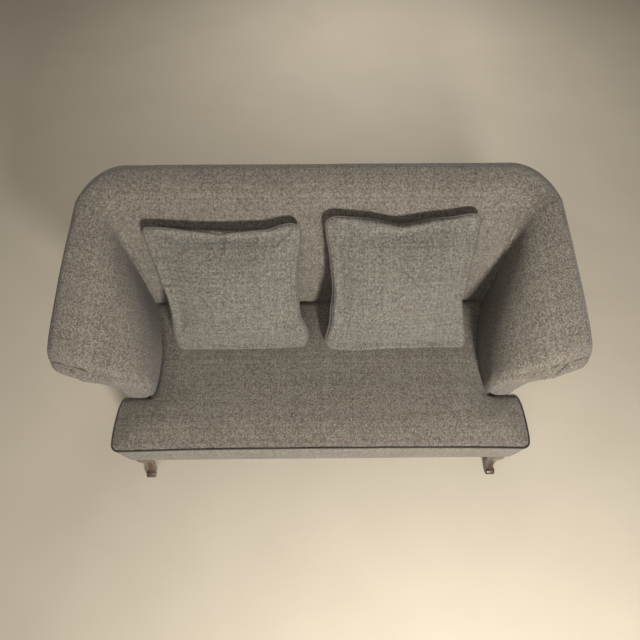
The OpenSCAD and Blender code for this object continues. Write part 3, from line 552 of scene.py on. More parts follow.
def front_rows(rim):
    """Points of the rows that close the left arm's front, one row for each step of the section."""
    columns = len(rim)
    first, middle = int(np.argmin(abs(ROUND - CAP_FROM))), columns // 2
    outline = rim[:, [0, 2]]
    share = (1 - np.cos(np.pi * np.arange(1, FRONT_ROWS) / FRONT_ROWS)) / 2
    rows = []
    for i in range(first, middle):
        line = rim[i] + (rim[columns - 1 - i] - rim[i]) * share[:, None]
        depth = distance_to_line(line[:, [0, 2]], outline)
        inward = np.minimum(depth + DRAWN_IN, EDGE_W) / EDGE_W
        quarter = (EDGE_L * np.sqrt(1 - (1 - inward) ** 2) - DRAWN_RUN) / NOSE
        line[:, 1] -= (LOW_NOSE + (NOSE - LOW_NOSE) * np.clip((ROUND[i] - 2) / 2, 0, 1)) * quarter
        rows.append(line)
    return np.array(rows), first, middle


def front_faces(first, middle, columns, rim_start, row_start, order=AS_IS):
    """Squares between the rows of a front and both sides of the section, triangles at the tip."""
    steps = np.arange(first, middle)
    inner = numbers(len(steps), FRONT_ROWS - 1, row_start)
    ids = np.column_stack([rim_start + steps, inner, rim_start + columns - 1 - steps])
    ids = np.vstack([ids, np.full(FRONT_ROWS + 1, rim_start + middle)])
    return [tuple(dict.fromkeys(face)) for face in squares(ids, order)]


def front_map(rows, rim, down, first):
    """The cloth map of the front carries on round the edge from whichever side is nearer."""
    flat = []
    columns = len(rim)
    near_a = np.arange(FRONT_ROWS - 1) < (FRONT_ROWS - 1) // 2
    for i, line in enumerate(rows, first):
        a, b = i, columns - 1 - i
        run = np.linalg.norm(np.diff(np.vstack([rim[a], line, rim[b]]), axis=0), axis=1)
        away = np.where(near_a, np.cumsum(run)[:-1], np.cumsum(run[::-1])[:-1][::-1])
        flat.append(np.stack([-away, np.where(near_a, down[a], down[b])], -1))
    return np.concatenate(flat)


def drawn_in(grid):
    """The rows near the front again, drawn in so that the corner in plan is round."""
    along = np.concatenate([[0], np.cumsum(np.linalg.norm(np.diff(grid, axis=0), axis=2).mean(1))])
    inward = EDGE_W * (1 - np.sqrt(1 - (np.maximum(DRAWN_RUN - along, 0) / EDGE_L) ** 2))
    ahead = np.gradient(grid[..., [0, 2]], axis=1)
    ahead /= np.linalg.norm(ahead, axis=-1, keepdims=True)
    across = np.stack([-ahead[..., 1], 0 * ahead[..., 0], ahead[..., 0]], -1)
    return grid + inward[:, None, None] * across


half_grid = drawn_in(shell_points(ROUND[None, :], HALF_RUN[:, None]))
shell_grid = np.concatenate([half_grid, (half_grid * np.array([-1, 1, 1]))[-2::-1]])
print("shell grid", shell_grid.shape)

# %% Shell mesh
def hump(distance, width):
    """1 at no distance, falling off to either side like a bell."""
    return np.exp(-((distance / width) ** 2))


# Pleats over the front edge of each roll: plan points of the fold, and its depth
PLEATS = [
    (
        [(-803, -204), (-795, -213), (-784, -221), (-769, -233), (-758, -241), (-750, -249)],
        3.4 * MM,
    ),
    ([(-726, -220), (-727, -230), (-729, -240), (-731, -249)], 2.6 * MM),
    ([(791, -205), (782, -216), (770, -226), (760, -233), (750, -241), (744, -249)], 3.4 * MM),
    ([(715, -216), (718, -226), (725, -235), (730, -245)], 2.4 * MM),
]


def run_share(plan, line):
    """How far along a line each point lies, from 0 at its start to 1 at its end."""
    ahead = line[-1] - line[0]
    return np.clip(((plan - line[0]) @ ahead) / (ahead @ ahead), 0, 1)


def in_roll(point):
    return point.z > 0.6 and point.y < -0.18


def press_pleats(shell):
    """Cuts the grid finer beside each pleat, and presses the fold in with a ridge along it."""
    work = bmesh.new()
    work.from_mesh(shell.data)
    for line, depth in PLEATS:
        line = np.array(line) * MM
        for reach in (16 * MM, 11 * MM, 8 * MM):
            spots = [f for f in work.faces if in_roll(f.calc_center_median())]
            plan = np.array([f.calc_center_median()[:2] for f in spots])
            near = distance_to_line(plan, line) < reach
            edges = {e for f, hit in zip(spots, near) if hit for e in f.edges}
            bmesh.ops.subdivide_edges(work, edges=list(edges), cuts=1, use_grid_fill=True)
        work.normal_update()
        spots = [v for v in work.verts if in_roll(v.co)]
        plan = np.array([v.co[:2] for v in spots])
        away = distance_to_line(plan, line)
        ahead = line[-1] - line[0]
        beside = (plan - line[0]) @ np.array([ahead[1], -ahead[0]])
        run = run_share(plan, line)
        ends = np.clip(run * 5, 0, 1) * np.clip((1 - run) * 5, 0.15, 1)
        ridge = 0.5 * hump(away - 4.5 * MM, 3 * MM) * (beside > 0)
        for v, lift in zip(spots, depth * (ridge - hump(away, 1.7 * MM)) * ends):
            v.co += v.normal * lift
    work.to_mesh(shell.data)
    work.free()


def make_shell():
    rows, columns = shell_grid.shape[:2]
    across, down = arc_map(shell_grid)
    down = down - down[:, columns // 2 : columns // 2 + 1]
    from_front = np.minimum(across, across[-1:] - across)
    on_back = across - across[rows // 2]
    fronts, first, middle = front_rows(shell_grid[0])
    count = fronts.shape[0] * fronts.shape[1]
    left_start, right_start = rows * columns, rows * columns + count
    fronts_left = fronts.reshape(-1, 3)
    points = np.vstack([shell_grid.reshape(-1, 3), fronts_left, fronts_left * [-1, 1, 1]])
    faces = squares(numbers(rows, columns), TURNED)
    faces += front_faces(first, middle, columns, 0, left_start, TURNED)
    faces += front_faces(first, middle, columns, (rows - 1) * columns, right_start)
    front_flat = front_map(fronts, shell_grid[0], down[0], first)
    flat = np.vstack([np.stack([from_front.ravel(), down.ravel()], -1), front_flat, front_flat])
    shell = piece("winged_upholstery", points, faces, cover_cloth, flat)
    along = np.concatenate([np.repeat(RUN, columns), np.zeros(2 * count)])
    steps = np.concatenate([np.tile(ROUND, rows), np.full(2 * count, TIP)])
    back_flat = np.vstack([np.stack([on_back.ravel(), down.ravel()], -1), flat[rows * columns :]])
    layer = shell.data.uv_layers["cloth"].data
    for face in shell.data.polygons:
        if along[list(face.vertices)].mean() > 1.5:
            for k, v in zip(face.loop_indices, face.vertices):
                layer[k].uv = back_flat[v]
    # Pressed in where arm and back meet, less and less up to the roll
    crease = np.clip((5.2 - steps) / 3.5, 0, 1)
    lift = -5 * MM * hump((1.5 - along) * 0.28, 12 * MM) * crease
    lift += 1.6 * MM * waves(points, 0.18, 1) + 0.5 * MM * waves(points, 0.05, 3)
    soften(shell, lift)
    press_pleats(shell)
    shell.data.polygons.foreach_set("use_smooth", [True] * len(shell.data.polygons))
    return hollow(shell)


shell = make_shell()
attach(shell, "sofa")
for side in ("left", "right"):
    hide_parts(side + "_arm_cover", side + "_arm_pad", side + "_outside_arm_board")
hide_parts("back_cover", "back_pad", "outside_back_board")
print(shell.name, len(shell.data.polygons), "faces")

# %% [markdown]
# ## The seat's outline
# The seat is cut like a T: its wings pass in front of the arms. The cover, its border and the cord
# all follow one outline, each at its own distance inside the edge.

# %% Seat outline
SEAT_X = 693 * MM
CORNER = 22 * MM
STEP_Y = ARM_Y - 1.5 * MM
PANEL_IN = 6 * MM
SEAT_REAR = BACK_Y - 1.5 * MM
SEAM_Z, SEAT_FALL, CROWN = 430 * MM, 15 * MM, 20 * MM
CORD_R = 2.7 * MM
WING_SWELL = 25 * MM
SWELL = np.array([
    (0, 0.55), (0.06, 0.72), (0.11, 0.84), (0.2, 0.95), (0.35, 1), (0.5, 1), (0.65, 0.95),
    (0.78, 0.86), (0.88, 0.68), (0.95, 0.42), (1, 0.25),
])
FRONT_HOLLOW = 6 * MM
STEP_R = 8 * MM
# The arm's rounded front corner leaves the seat a little more room inside
STEM_INNER_R, STEM_INNER_D = 12 * MM, 40 * MM


def back_share(y):
    return (y - SEAT_Y) / (SEAT_REAR - SEAT_Y)


def seam_at(y):
    return SEAM_Z - SEAT_FALL * back_share(y)


def swell_at(y):
    return WING_SWELL * np.interp((y - SEAT_Y) / (STEP_Y - SEAT_Y), SWELL[:, 0], SWELL[:, 1])


def front_hollow(x):
    """How far the front seam lies back at x; it comes forward again at the corners."""
    return FRONT_HOLLOW * (1 - np.minimum(abs(x) / (SEAT_X - CORNER), 1) ** 3)


# The inside of an arm where the seat meets it: (depth, half width), read off the shell
MEET_Z = 412 * MM
wall_grid = shell_points(np.linspace(0, 3, 40)[None, :], np.linspace(0, 1.2, 80)[:, None])
WALL = np.array([[np.interp(MEET_Z, row[:, 2], row[:, k]) for k in (1, 0)] for row in wall_grid])
WALL[:, 1] *= -1


def arm_inside(y):
    """Half the clear width between the arms at a depth y."""
    return np.interp(y, WALL[:, 0], WALL[:, 1]) - 1.5 * MM


def front_edge(inset, lean, xs, turns):
    """Right half of the front, and its corner; lean is the share of the hollow it takes."""
    points = [(x, SEAT_Y + inset + lean * front_hollow(x)) for x in xs]
    for a in np.linspace(0, math.pi / 2, turns):
        y = SEAT_Y + CORNER - (CORNER - inset) * math.cos(a)
        points.append((SEAT_X - CORNER + (CORNER - inset) * math.sin(a) + swell_at(y), y))
    return points


def inner_half(y):
    """Half the width of the seat beside the arm at a depth y."""
    stem_share = max(0, 1 - max(y - ARM_Y, 0) / STEM_INNER_D) ** 2
    return arm_inside(max(y, ARM_Y)) + STEM_INNER_R * stem_share


def seat_outline(inset, tucked):
    """Right half of the outline as points from the front middle round to the back middle. The
    free edge is drawn in by inset, and the edge in the crease by tucked."""
    points = front_edge(inset, 1, np.linspace(0, SEAT_X - CORNER, 60)[:-1], 11)
    rear = STEP_Y - max(inset, PANEL_IN) - tucked
    side = np.linspace(SEAT_Y + CORNER, rear - STEP_R, 24)[1:]
    points += [(SEAT_X - inset + swell_at(y), y) for y in side]
    for a in np.linspace(0, math.pi / 2, 6):
        y = rear - STEP_R * (1 - math.sin(a))
        points.append((SEAT_X - inset - STEP_R * (1 - math.cos(a)) + swell_at(y), y))
    points += [(x, rear) for x in np.linspace(points[-1][0], inner_half(ARM_Y), 12)[1:]]
    inside = np.linspace(ARM_Y, SEAT_REAR - tucked, 40)
    points += [(inner_half(y) - tucked, y) for y in inside]
    points += [(x, SEAT_REAR - tucked) for x in np.linspace(points[-1][0], 0, 50)[1:]]
    return np.array(points)


def whole_outline(inset, tucked):
    half = seat_outline(inset, tucked)
    return np.vstack([half, (half * np.array([-1, 1]))[-2:0:-1]])


print("arm inside", WALL[0].round(3), WALL[-1].round(3))

# %% [markdown]
# ## The seat
# The cover of a tight seat is pulled down all round. In front and on the wings it ends at the
# cord, and beside the arms and the back it dives into the crease. It is laid out as three blocks
# of squares, whose height comes from the distance to the edge, and is closed underneath with a
# groove under the rim where the cord lies.

# %% Seat pad
PAD_BOTTOM = DECK_Z + 7.4 * MM
CROWN_RUN = 0.17
TUCK_DEPTH, TUCK_WIDTH = 11 * MM, 8 * MM
GROOVE, RIM = 6.5 * MM, 3 * MM
PAD_LINE = whole_outline(PANEL_IN, 0)
PAD_HALF = seat_outline(PANEL_IN, 0)


def near_line(plan, line):
    return np.concatenate([distance_to_line(part, line) for part in np.array_split(plan, 12)])


def wing_limit(y):
    """How far out the wing reaches at a depth y, with its rounded front and rear corners."""
    side = PAD_HALF[(PAD_HALF[:, 0] > SEAT_X - CORNER - 1 * MM) & (PAD_HALF[:, 1] < STEP_Y)]
    return np.interp(y, side[:, 1], side[:, 0])


def seat_height(points):
    """Height of the cover over the seat, from its plan."""
    plan = points[:, :2]
    edge = near_line(plan, np.vstack([PAD_LINE, PAD_LINE[:1]]))
    crease = PAD_HALF[PAD_HALF[:, 1] > STEP_Y - 8 * MM]
    tuck = near_line(np.stack([abs(plan[:, 0]), plan[:, 1]], -1), crease)
    swell = CROWN * (1 - (1 - np.minimum(edge / CROWN_RUN, 1)) ** 2.6)
    return seam_at(plan[:, 1]) - 1.5 * MM + swell - TUCK_DEPTH * hump(tuck, TUCK_WIDTH)


def close_below(pad):
    """Closes the cover underneath, with a groove under its rim in the crease."""
    work = bmesh.new()
    work.from_mesh(pad.data)
    bmesh.ops.remove_doubles(work, verts=work.verts, dist=0.01 * MM)
    for _ in range(8):
        inside = [v for v in work.verts if not v.is_boundary]
        bmesh.ops.smooth_vert(work, verts=inside, factor=0.5, use_axis_z=True)
    rim = bmesh.ops.extrude_face_region(work, geom=list(work.faces))["geom"]
    for v in [g for g in rim if isinstance(g, bmesh.types.BMVert)]:
        x, y = v.co.x, v.co.y
        v.co.z -= RIM
        if y > STEP_Y - PANEL_IN - 0.1 * MM and abs(x) > inner_half(y) - 0.1 * MM:
            v.co.x -= math.copysign(GROOVE, x) if y > STEP_Y else 0
            v.co.y -= GROOVE if y < STEP_Y else 0
        if y > SEAT_REAR - 0.1 * MM:
            v.co.y -= GROOVE
    below = [g for g in rim if isinstance(g, bmesh.types.BMFace)]
    foot = bmesh.ops.extrude_face_region(work, geom=below)["geom"]
    bmesh.ops.delete(work, geom=below, context="FACES_ONLY")
    for v in [g for g in foot if isinstance(g, bmesh.types.BMVert)]:
        v.co.z = PAD_BOTTOM
    bmesh.ops.recalc_face_normals(work, faces=work.faces)
    loose = [v for v in work.verts if not v.link_faces]
    bmesh.ops.delete(work, geom=loose, context="VERTS")
    open_edges = sum(1 for e in work.edges if len(e.link_faces) != 2)
    work.to_mesh(pad.data)
    work.free()
    print(pad.name, "open or crowded edges", open_edges)


def make_seat():
    front, rear = SEAT_Y + PANEL_IN, STEP_Y - PANEL_IN
    r = CORNER - PANEL_IN
    near = front + r * (1 - np.cos(np.linspace(0, np.pi / 2, 9)))
    far = rear - STEP_R * (1 - np.sin(np.linspace(0, np.pi / 2, 6)))
    wing_rows = np.concatenate([near, np.linspace(near[-1], far[0], 24)[1:-1], far])
    main_rows = np.concatenate([wing_rows, np.linspace(rear, SEAT_REAR, 60)[1:]])
    inner = inner_half(ARM_Y)
    points, faces = [], []

    def block(ys, across, reaches, order):
        """Adds rows of points across to the reach at each depth, and the squares between."""
        start = len(points)
        for y, (low, high) in zip(ys, reaches):
            set_back = 1 - min((y - front) / (60 * MM), 1)
            for c in across:
                x = low + (high - low) * c
                points.append((x, y + set_back * front_hollow(x), 0))
        faces.extend(squares(numbers(len(ys), len(across), start), order))

    halves = [inner if y <= rear + 1e-9 else inner_half(y) for y in main_rows]
    block(main_rows, np.linspace(-1, 1, 151), [(0, half) for half in halves], TURNED)
    for side, order in ((-1, AS_IS), (1, TURNED)):
        reaches = [(side * inner, side * wing_limit(y)) for y in wing_rows]
        block(wing_rows, np.linspace(0, 1, 16), reaches, order)
    points = np.array(points, float)
    points[:, 2] = seat_height(points)
    points[:, 2] += 1.4 * MM * waves(points, 0.22, 8) + 0.4 * MM * waves(points, 0.06, 9)
    pad = piece("seat_upholstery", points, faces, cover_cloth, points[:, :2])
    close_below(pad)
    bent_smooth(pad, 50)
    return pad


seat = make_seat()
dress(seat, "sofa", "cover_fabric", "seat_top_panel", "seat_pad")
print("seat top", round(points_of(seat)[:, 2].max(), 4))

# %% [markdown]
# ## The border of the seat
# One strip of cloth runs round the front and the wings, from the cord down to the bottom edge,
# where it turns under the frame. Over the rail it is upright, and above the rail the soft pad lets
# it lean back a little in the middle of the front.

# %% Seat border
# Height share from the bottom, and how far inside the outline the strip lies there
BORDER_PROFILE = [
    (0.0, 16 * MM), (0.0, 8 * MM), (0.006, 4.2 * MM), (0.03, 2.6 * MM), (0.1, 1.6 * MM),
    (0.22, 0.9 * MM), (0.4, 0.4 * MM), (0.6, 0.2 * MM), (0.72, 0.3 * MM), (0.82, 0.5 * MM),
    (0.9, 0.9 * MM), (0.97, 1.6 * MM), (1.0, 2.6 * MM),
]
JOIN_GAP = 1.2 * MM


def border_path(inset, lean):
    """Outline of the strip from one wing round to the other; lean is 0 below, 1 at the cord."""
    half = front_edge(inset, lean, np.linspace(0, SEAT_X - CORNER, 90), 15)
    side = np.linspace(SEAT_Y + CORNER, ARM_Y - LOW_NOSE - JOIN_GAP, 30)[1:]
    half = np.array(half + [(SEAT_X - inset + swell_at(y), y) for y in side])
    return np.vstack([(half * [-1, 1])[::-1], half[1:]])


def make_border():
    rows = []
    for share, inset in BORDER_PROFILE:
        path = border_path(inset, max(0, (share - 0.6) / 0.4) ** 0.8)
        high = seam_at(path[:, 1]) - 2 * CORD_R
        rows.append(np.column_stack([path, APRON_Z + (high - APRON_Z) * share]))
    grid = np.array(rows)
    across = lengths_along(grid[6])
    flat = np.array([[a - across[-1] / 2, p[2]] for row in grid for a, p in zip(across, row)])
    points = grid.reshape(-1, 3)
    faces = squares(numbers(*grid.shape[:2]))
    strip = piece("seat_border_cloth", points, faces, cover_cloth, flat)
    lift = 1.0 * MM * waves(points, 0.16, 11) + 0.3 * MM * waves(points, 0.04, 12)
    soften(strip, lift * np.repeat([0, 0, 0.3, 0.6, 1, 1, 1, 1, 1, 1, 0.6, 0.2, 0], grid.shape[1]))
    strip.data.flip_normals()
    return hollow(strip)


dress(make_border(), "sofa", "cover_fabric", "seat_border")

# %% [markdown]
# ## The cord round the seat
# The cord is sewn between the cover and the border and goes right round, also where the crease
# hides it. It is a tube swept along the outline, whose path wanders a little.

# %% Seat cord
CREASE_DROP = 16 * MM


def spaced(path, pitch):
    """The closed path again, with points at an even pitch."""
    loop = np.vstack([path, path[:1]])
    run = lengths_along(loop)
    at = np.linspace(0, run[-1], int(round(run[-1] / pitch)) + 1)[:-1]
    return np.column_stack([np.interp(at, run, loop[:, k]) for k in range(3)]), run[-1]


def sewn_tube(name, path, radius, up, material, sides=12):
    """Round tube along a closed path, with a map along and round it."""
    ahead = np.roll(path, -1, 0) - np.roll(path, 1, 0)
    ahead /= np.linalg.norm(ahead, axis=1, keepdims=True)
    side = np.cross(ahead, up)
    side /= np.linalg.norm(side, axis=1, keepdims=True)
    over = np.cross(side, ahead)
    angles = 2 * np.pi * np.arange(sides + 1) / sides
    rings = np.array([
        path + radius * (math.cos(a) * side + math.sin(a) * over) for a in angles[:-1]
    ]).transpose(1, 0, 2)
    faces = squares(np.pad(numbers(len(path), sides), (0, 1), mode="wrap"), BEHIND)
    step = np.linalg.norm(np.roll(path, -1, 0) - path, axis=1)
    run = np.concatenate([[0], np.cumsum(step)])[:-1]
    flat = np.array([[d, radius * a] for d in run for a in angles[:-1]])
    tube = piece(name, rings.reshape(-1, 3), faces, material, flat)
    all_faces(tube, bpy.ops.mesh.normals_make_consistent, inside=False)
    return tube


cord_line = whole_outline(CORD_R + 0.3 * MM, CORD_R)
cord_path = np.column_stack([cord_line, seam_at(cord_line[:, 1]) - CORD_R / 2])
in_crease = np.clip((cord_line[:, 1] - STEP_Y + 18 * MM) / (8 * MM), 0, 1)
in_crease *= abs(cord_line[:, 0]) < SEAT_X - 10 * MM
cord_path[:, 2] -= CREASE_DROP * in_crease
cord_path, cord_length = spaced(cord_path, 6 * MM)
cord_path[:, 2] += 0.9 * MM * waves(cord_path, 0.12, 14) * (cord_path[:, 1] < STEP_Y - 20 * MM)
cord_path[:, :2] += 0.3 * MM * waves(cord_path, 0.09, 15)[:, None]
seat_cord = sewn_tube("seat_cord", cord_path, CORD_R, (0, 0, 1), seat_cord_cloth)
dress(seat_cord, "sofa", "welt_fabric", "seat_welt")
print("seat cord", round(cord_length, 3), "m")

# %% [markdown]
# ## The pillows
# Each loose pillow is two pieces of cloth sewn round a soft filling, with a cord in the seam. The
# cord's line was drawn for each, since a soft pillow is never square, and it stays where it is.
# Between its four edges the cloth is stretched like a sail and puffed up, and a cloth simulation
# with a cut that is a little too large puckers it beside the cord. The pillow leans back, and is
# pressed flat where it meets the seat and the back.

# %% Pillow outlines
# The cord's edges as pairs of mm across and up from the pillow's middle
LEFT_RIM = {
    "bottom": [-214, -228, -200, -236, -174, -237, -137, -234, -62, -233, 49, -233, 161, -229,
        235, -228, 255, -225],
    "right": [255, -225, 267, -203, 270, -178, 266, -153, 255, -129, 243, -107, 239, -81, 237, -34,
        234, 22, 232, 59, 233, 77, 239, 113, 244, 148, 248, 183, 249, 200, 246, 220],
    "top": [-272, 227, -243, 228, -213, 227, -148, 223, -83, 220, -18, 219, 48, 218, 114, 220,
        147, 221, 174, 229, 200, 236, 220, 238, 239, 231, 246, 220],
    "left": [-214, -228, -221, -199, -227, -169, -227, -129, -225, -77, -228, -50, -233, -11,
        -245, 26, -249, 63, -256, 96, -263, 124, -271, 159, -278, 193, -279, 213, -272, 227],
}
RIGHT_RIM = {
    "bottom": [-252, -228, -237, -241, -208, -246, -170, -247, -133, -244, -77, -238, -22, -233,
        53, -233, 127, -232, 202, -234, 232, -236, 246, -232],
    "right": [246, -232, 258, -224, 257, -201, 248, -159, 239, -119, 232, -79, 225, -40, 232, -25,
        235, -2, 238, 36, 240, 72, 242, 108, 249, 143, 251, 178, 252, 211, 255, 235, 255, 246,
        248, 258],
    "top": [-247, 255, -231, 259, -208, 259, -182, 256, -149, 254, -110, 250, -83, 245, -50, 238,
        -27, 233, -10, 232, 16, 236, 48, 241, 80, 248, 112, 251, 151, 254, 183, 259, 209, 264,
        231, 265, 248, 258],
    "left": [-252, -228, -263, -211, -264, -196, -260, -175, -252, -147, -247, -114, -246, -75,
        -241, -36, -238, -6, -239, 21, -243, 58, -246, 94, -248, 119, -252, 147, -257, 181,
        -261, 208, -263, 232, -260, 245, -247, 255],
}
LEAN = math.radians(38)
PILLOW_T = 200 * MM
PILLOW_CELLS = 84
CUT_MORE, FULLNESS, SEAM_IN = 1.05, 0.62, 3 * MM
PATTERN_AT = {"left": 0.37, "right": 0.11}
# Where the traced outlines lie from the middle of the cord in the CAD model
OFFSET = {"left": (-6 * MM, -14 * MM), "right": (3 * MM, -13.5 * MM)}
# Dips of the seam on the left pillow, where its front is pulled down: across, depth
SEAM_DIP = [(-230, 0), (-202, 0.6), (-152, 2.5), (-86, 6), (-45, 9.5), (-22, 13), (-13, 15),
            (0, 10), (30, 6), (80, 4), (130, 2.5), (153, 0.5), (180, 0)]
# Short folds in the front, as points across and up with a depth
FOLDS = {
    "left": [([(-13, 208), (-11, 192), (-8, 172)], 12)],
    "right": [
        ([(228, -40), (213, -36), (203, -37)], 7), ([(-255, -225), (-238, -208), (-226, -190)], 4),
        ([(-262, -190), (-244, -182), (-230, -170)], 3),
    ],
}


def spread(points, count):
    """An edge as count points at an even pitch, in metres."""
    line = np.array(points).reshape(-1, 2) * MM
    run = lengths_along(line)
    at = np.linspace(0, run[-1], count)
    return np.column_stack([np.interp(at, run, line[:, k]) for k in range(2)])


def sail(rim, count):
    """Grid of points between four edges: rows go up, columns go right."""
    bottom, right, top, left = (spread(rim[k], count) for k in ("bottom", "right", "top", "left"))
    t = np.linspace(0, 1, count)
    r, s = t[:, None, None], t[None, :, None]
    across = (1 - s) * left[:, None] + s * right[:, None]
    up = (1 - r) * bottom[None] + r * top[None]
    low, high = (1 - s) * bottom[0] + s * bottom[-1], (1 - s) * top[0] + s * top[-1]
    return across + up - ((1 - r) * low + r * high)


print("pillow edges", {k: len(v) // 2 for k, v in RIGHT_RIM.items()})

# %% Pillow cloth and cord
def pillow_weave(name, shift):
    def along(kit):
        return kit.split(kit.turned(kit.place(), (shift, 0, 0), (LEAN, 0, 0)))[::2]

    return weave(name, along, (0.93, 0.98, 1.02))


def pillow_mesh(name, rim, material):
    """Front and back of a pillow on one rim, its flat cut, and the numbers of the rim's points."""
    n = PILLOW_CELLS + 1
    grid = sail(rim, n)
    middle = grid.reshape(-1, 2).mean(0)
    t = np.linspace(-1, 1, n)
    r, s = np.meshgrid(t, t, indexing="ij")
    full = ((1 - s**2) * (1 - r**2)) ** FULLNESS * (PILLOW_T / 2)
    inward = middle - grid
    inside = grid + inward * (SEAM_IN / np.linalg.norm(inward, axis=-1, keepdims=True))
    front = np.stack([inside[..., 0], -full, inside[..., 1]], -1)
    back = np.stack([inside[..., 0], full, inside[..., 1]], -1)
    flat = (inside - middle) * CUT_MORE + middle
    cut = np.stack([flat[..., 0], 0 * full, flat[..., 1]], -1)
    ids = numbers(n, n)
    behind = ids.copy()
    behind[1:-1, 1:-1] = numbers(n - 2, n - 2, n * n)

    def both(first, second):
        return np.vstack([first.reshape(-1, 3), second[1:-1, 1:-1].reshape(-1, 3)])

    cover = piece(name, both(front, back), squares(ids) + squares(behind, BEHIND), material)
    edge = np.concatenate([ids[0], ids[1:, -1], ids[-1, -2::-1], ids[-2:0:-1, 0]]).tolist()
    return cover, both(cut, cut), edge


CLOTH = {
    "quality": 6, "mass": 0.25, "air_damping": 4, "tension_stiffness": 20,
    "compression_stiffness": 20, "shear_stiffness": 8, "bending_stiffness": 0.4,
    "use_pressure": True, "uniform_pressure_force": 4,
}
FRAMES, CAP = 20, 26 * MM


def settle(cover, rest, edge):
    """Fills the cover by cloth simulation, from its present shape and a flat rest shape."""
    start = points_of(cover)
    cover.shape_key_add(name="filled")
    key = cover.shape_key_add(name="cut")
    key.data.foreach_set("co", rest.ravel())
    cover.vertex_groups.new(name="seam").add(edge, 1.0, "REPLACE")
    cloth = cover.modifiers.new("cloth", "CLOTH")
    for name, value in CLOTH.items():
        setattr(cloth.settings, name, value)
    cloth.settings.effector_weights.gravity = 0
    cloth.settings.rest_shape_key = key
    cloth.settings.vertex_group_mass = "seam"
    cloth.point_cache.frame_start = 1
    cloth.point_cache.frame_end = FRAMES
    for step in range(1, FRAMES + 1):
        bpy.context.scene.frame_set(step)
    filled = points_of(cover.evaluated_get(bpy.context.evaluated_depsgraph_get()))
    bpy.context.scene.frame_set(1)
    cover.modifiers.clear()
    cover.vertex_groups.clear()
    cover.shape_key_clear()
    move = filled - start
    far = np.linalg.norm(move, axis=1, keepdims=True)
    print(cover.name, "moved up to", round(float(far.max()) * 1000, 1), "mm")
    set_points(cover, start + move * np.minimum(1, CAP / np.maximum(far, 1e-9)))


def back_face(z):
    """Depth of the inside of the back at a height."""
    curve = smooth_at(TABLES["back"], np.linspace(0, 6, 60))
    return BACK_Y + np.interp(z, curve[:, 1], curve[:, 0])


def rest_against(points, clearance=1.5 * MM):
    """Presses points off the seat and the back."""
    points = points.copy()
    points[:, 1] = np.minimum(points[:, 1], back_face(points[:, 2]) - clearance)
    low = points[:, 2] < 0.5
    if low.any():
        floor = seat_height(points[low]) + 1.2 * MM + clearance
        points[low, 2] = np.maximum(points[low, 2], floor)
    return points


def folded(points, side):
    """Presses the short folds into the front of a pillow."""
    points = points.copy()
    for line, depth in FOLDS[side]:
        line = np.array(line) * MM
        plan = points[:, [0, 2]]
        away = distance_to_line(plan, line)
        press = hump(away, 4.5 * MM) - 0.45 * hump(away - 11 * MM, 6 * MM)
        press *= depth * MM * (1 - 0.7 * run_share(plan, line))
        points[:, 1] += np.where(points[:, 1] < -1 * MM, press, 0)
    return points


def dipped_seam(points, edge):
    """The seam's points, those along the top moved down the front by the dip."""
    n = PILLOW_CELLS + 1
    seam = points[edge].copy()
    dip = np.array(SEAM_DIP) * MM
    for k, index in enumerate(edge):
        row, column = divmod(index, n)
        if row == n - 1:
            down = points[[i * n + column for i in range(n - 1, n - 12, -1)]]
            depth = down[0, 2] - down[:, 2]
            want = np.interp(points[index, 0], dip[:, 0], dip[:, 1])
            seam[k] = [np.interp(want, depth, down[:, a]) for a in range(3)]
            seam[k, 1] -= 1.2 * MM * min(want / (4 * MM), 1)
    return seam


def make_pillow(side, rim):
    body = side + "_pillow"
    low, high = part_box(body + "_welt")
    cos, sin = math.cos(LEAN), math.sin(LEAN)
    over, up = OFFSET[side]
    middle = np.array([(a + b) / 2 for a, b in zip(low, high)]) + [over, up * sin, up * cos]
    material = pillow_weave(body + "_cloth", PATTERN_AT[side])
    cover, cut, edge = pillow_mesh(body + "_cover", rim, material)
    settle(cover, cut, edge)
    p = folded(points_of(cover), side)

    def placed(q):
        y, z = q[:, 1] * cos + q[:, 2] * sin, q[:, 2] * cos - q[:, 1] * sin
        return rest_against(np.column_stack([q[:, 0], y, z]) + middle)

    seam = dipped_seam(p, edge) if side == "left" else p[edge]
    path, around = spaced(seam, 5 * MM)
    set_points(cover, placed(p))
    cord = sewn_tube(body + "_cord", placed(path), CORD_R, (0, -cos, sin), pillow_cord_shaded)
    shaped(cover, "SUBSURF", levels=1, render_levels=1)
    solids = [body + end for end in ("_front_panel", "_back_panel", "_insert")]
    dress(cover, body, "pillow_fabric", *solids)
    dress(cord, body, "pillow_fabric", body + "_welt")
    print("cord", round(around, 3), "m")


# The pillow's cord is of the pillow's own cloth, but its colours are painted darker than that
# cloth, as painted shade along the seam.
pillow_cord_shaded = cord_cloth("pillow_cord_shaded_cloth", (0.044, 0.037, 0.028), (0.13, 0.113, 0.09))
make_pillow("left", LEFT_RIM)
make_pillow("right", RIGHT_RIM)

# %% [markdown]
# ## Wood
# The legs are walnut under a satin lacquer, greyish where they catch the light. Grain is noise
# stretched along the leg, with finer pores inside it.

# %% Wood and other frame finishes
def timber(name, dark, light, stretch, coat, roughness):
    kit = Maker(name, roughness)
    kit.shader.inputs["Coat Weight"].default_value = coat
    kit.shader.inputs["Coat Roughness"].default_value = 0.25
    place = kit.turned(kit.place(), scale=stretch)
    figure = kit.cloud(place, 14.0, 4.0, 0.6)
    bands = ((kit.split(place)[0] * 60.0 + figure * 9.0) * math.pi).sine() * 0.5 + 0.5
    pores = kit.cloud(place, 160.0, 2.0, 0.7)
    colour = kit.mix(bands * 0.55 + pores * 0.45, dark, light)
    return kit.finish(colour, pores * 0.7 + bands * 0.3, 0.0003, 0.5)


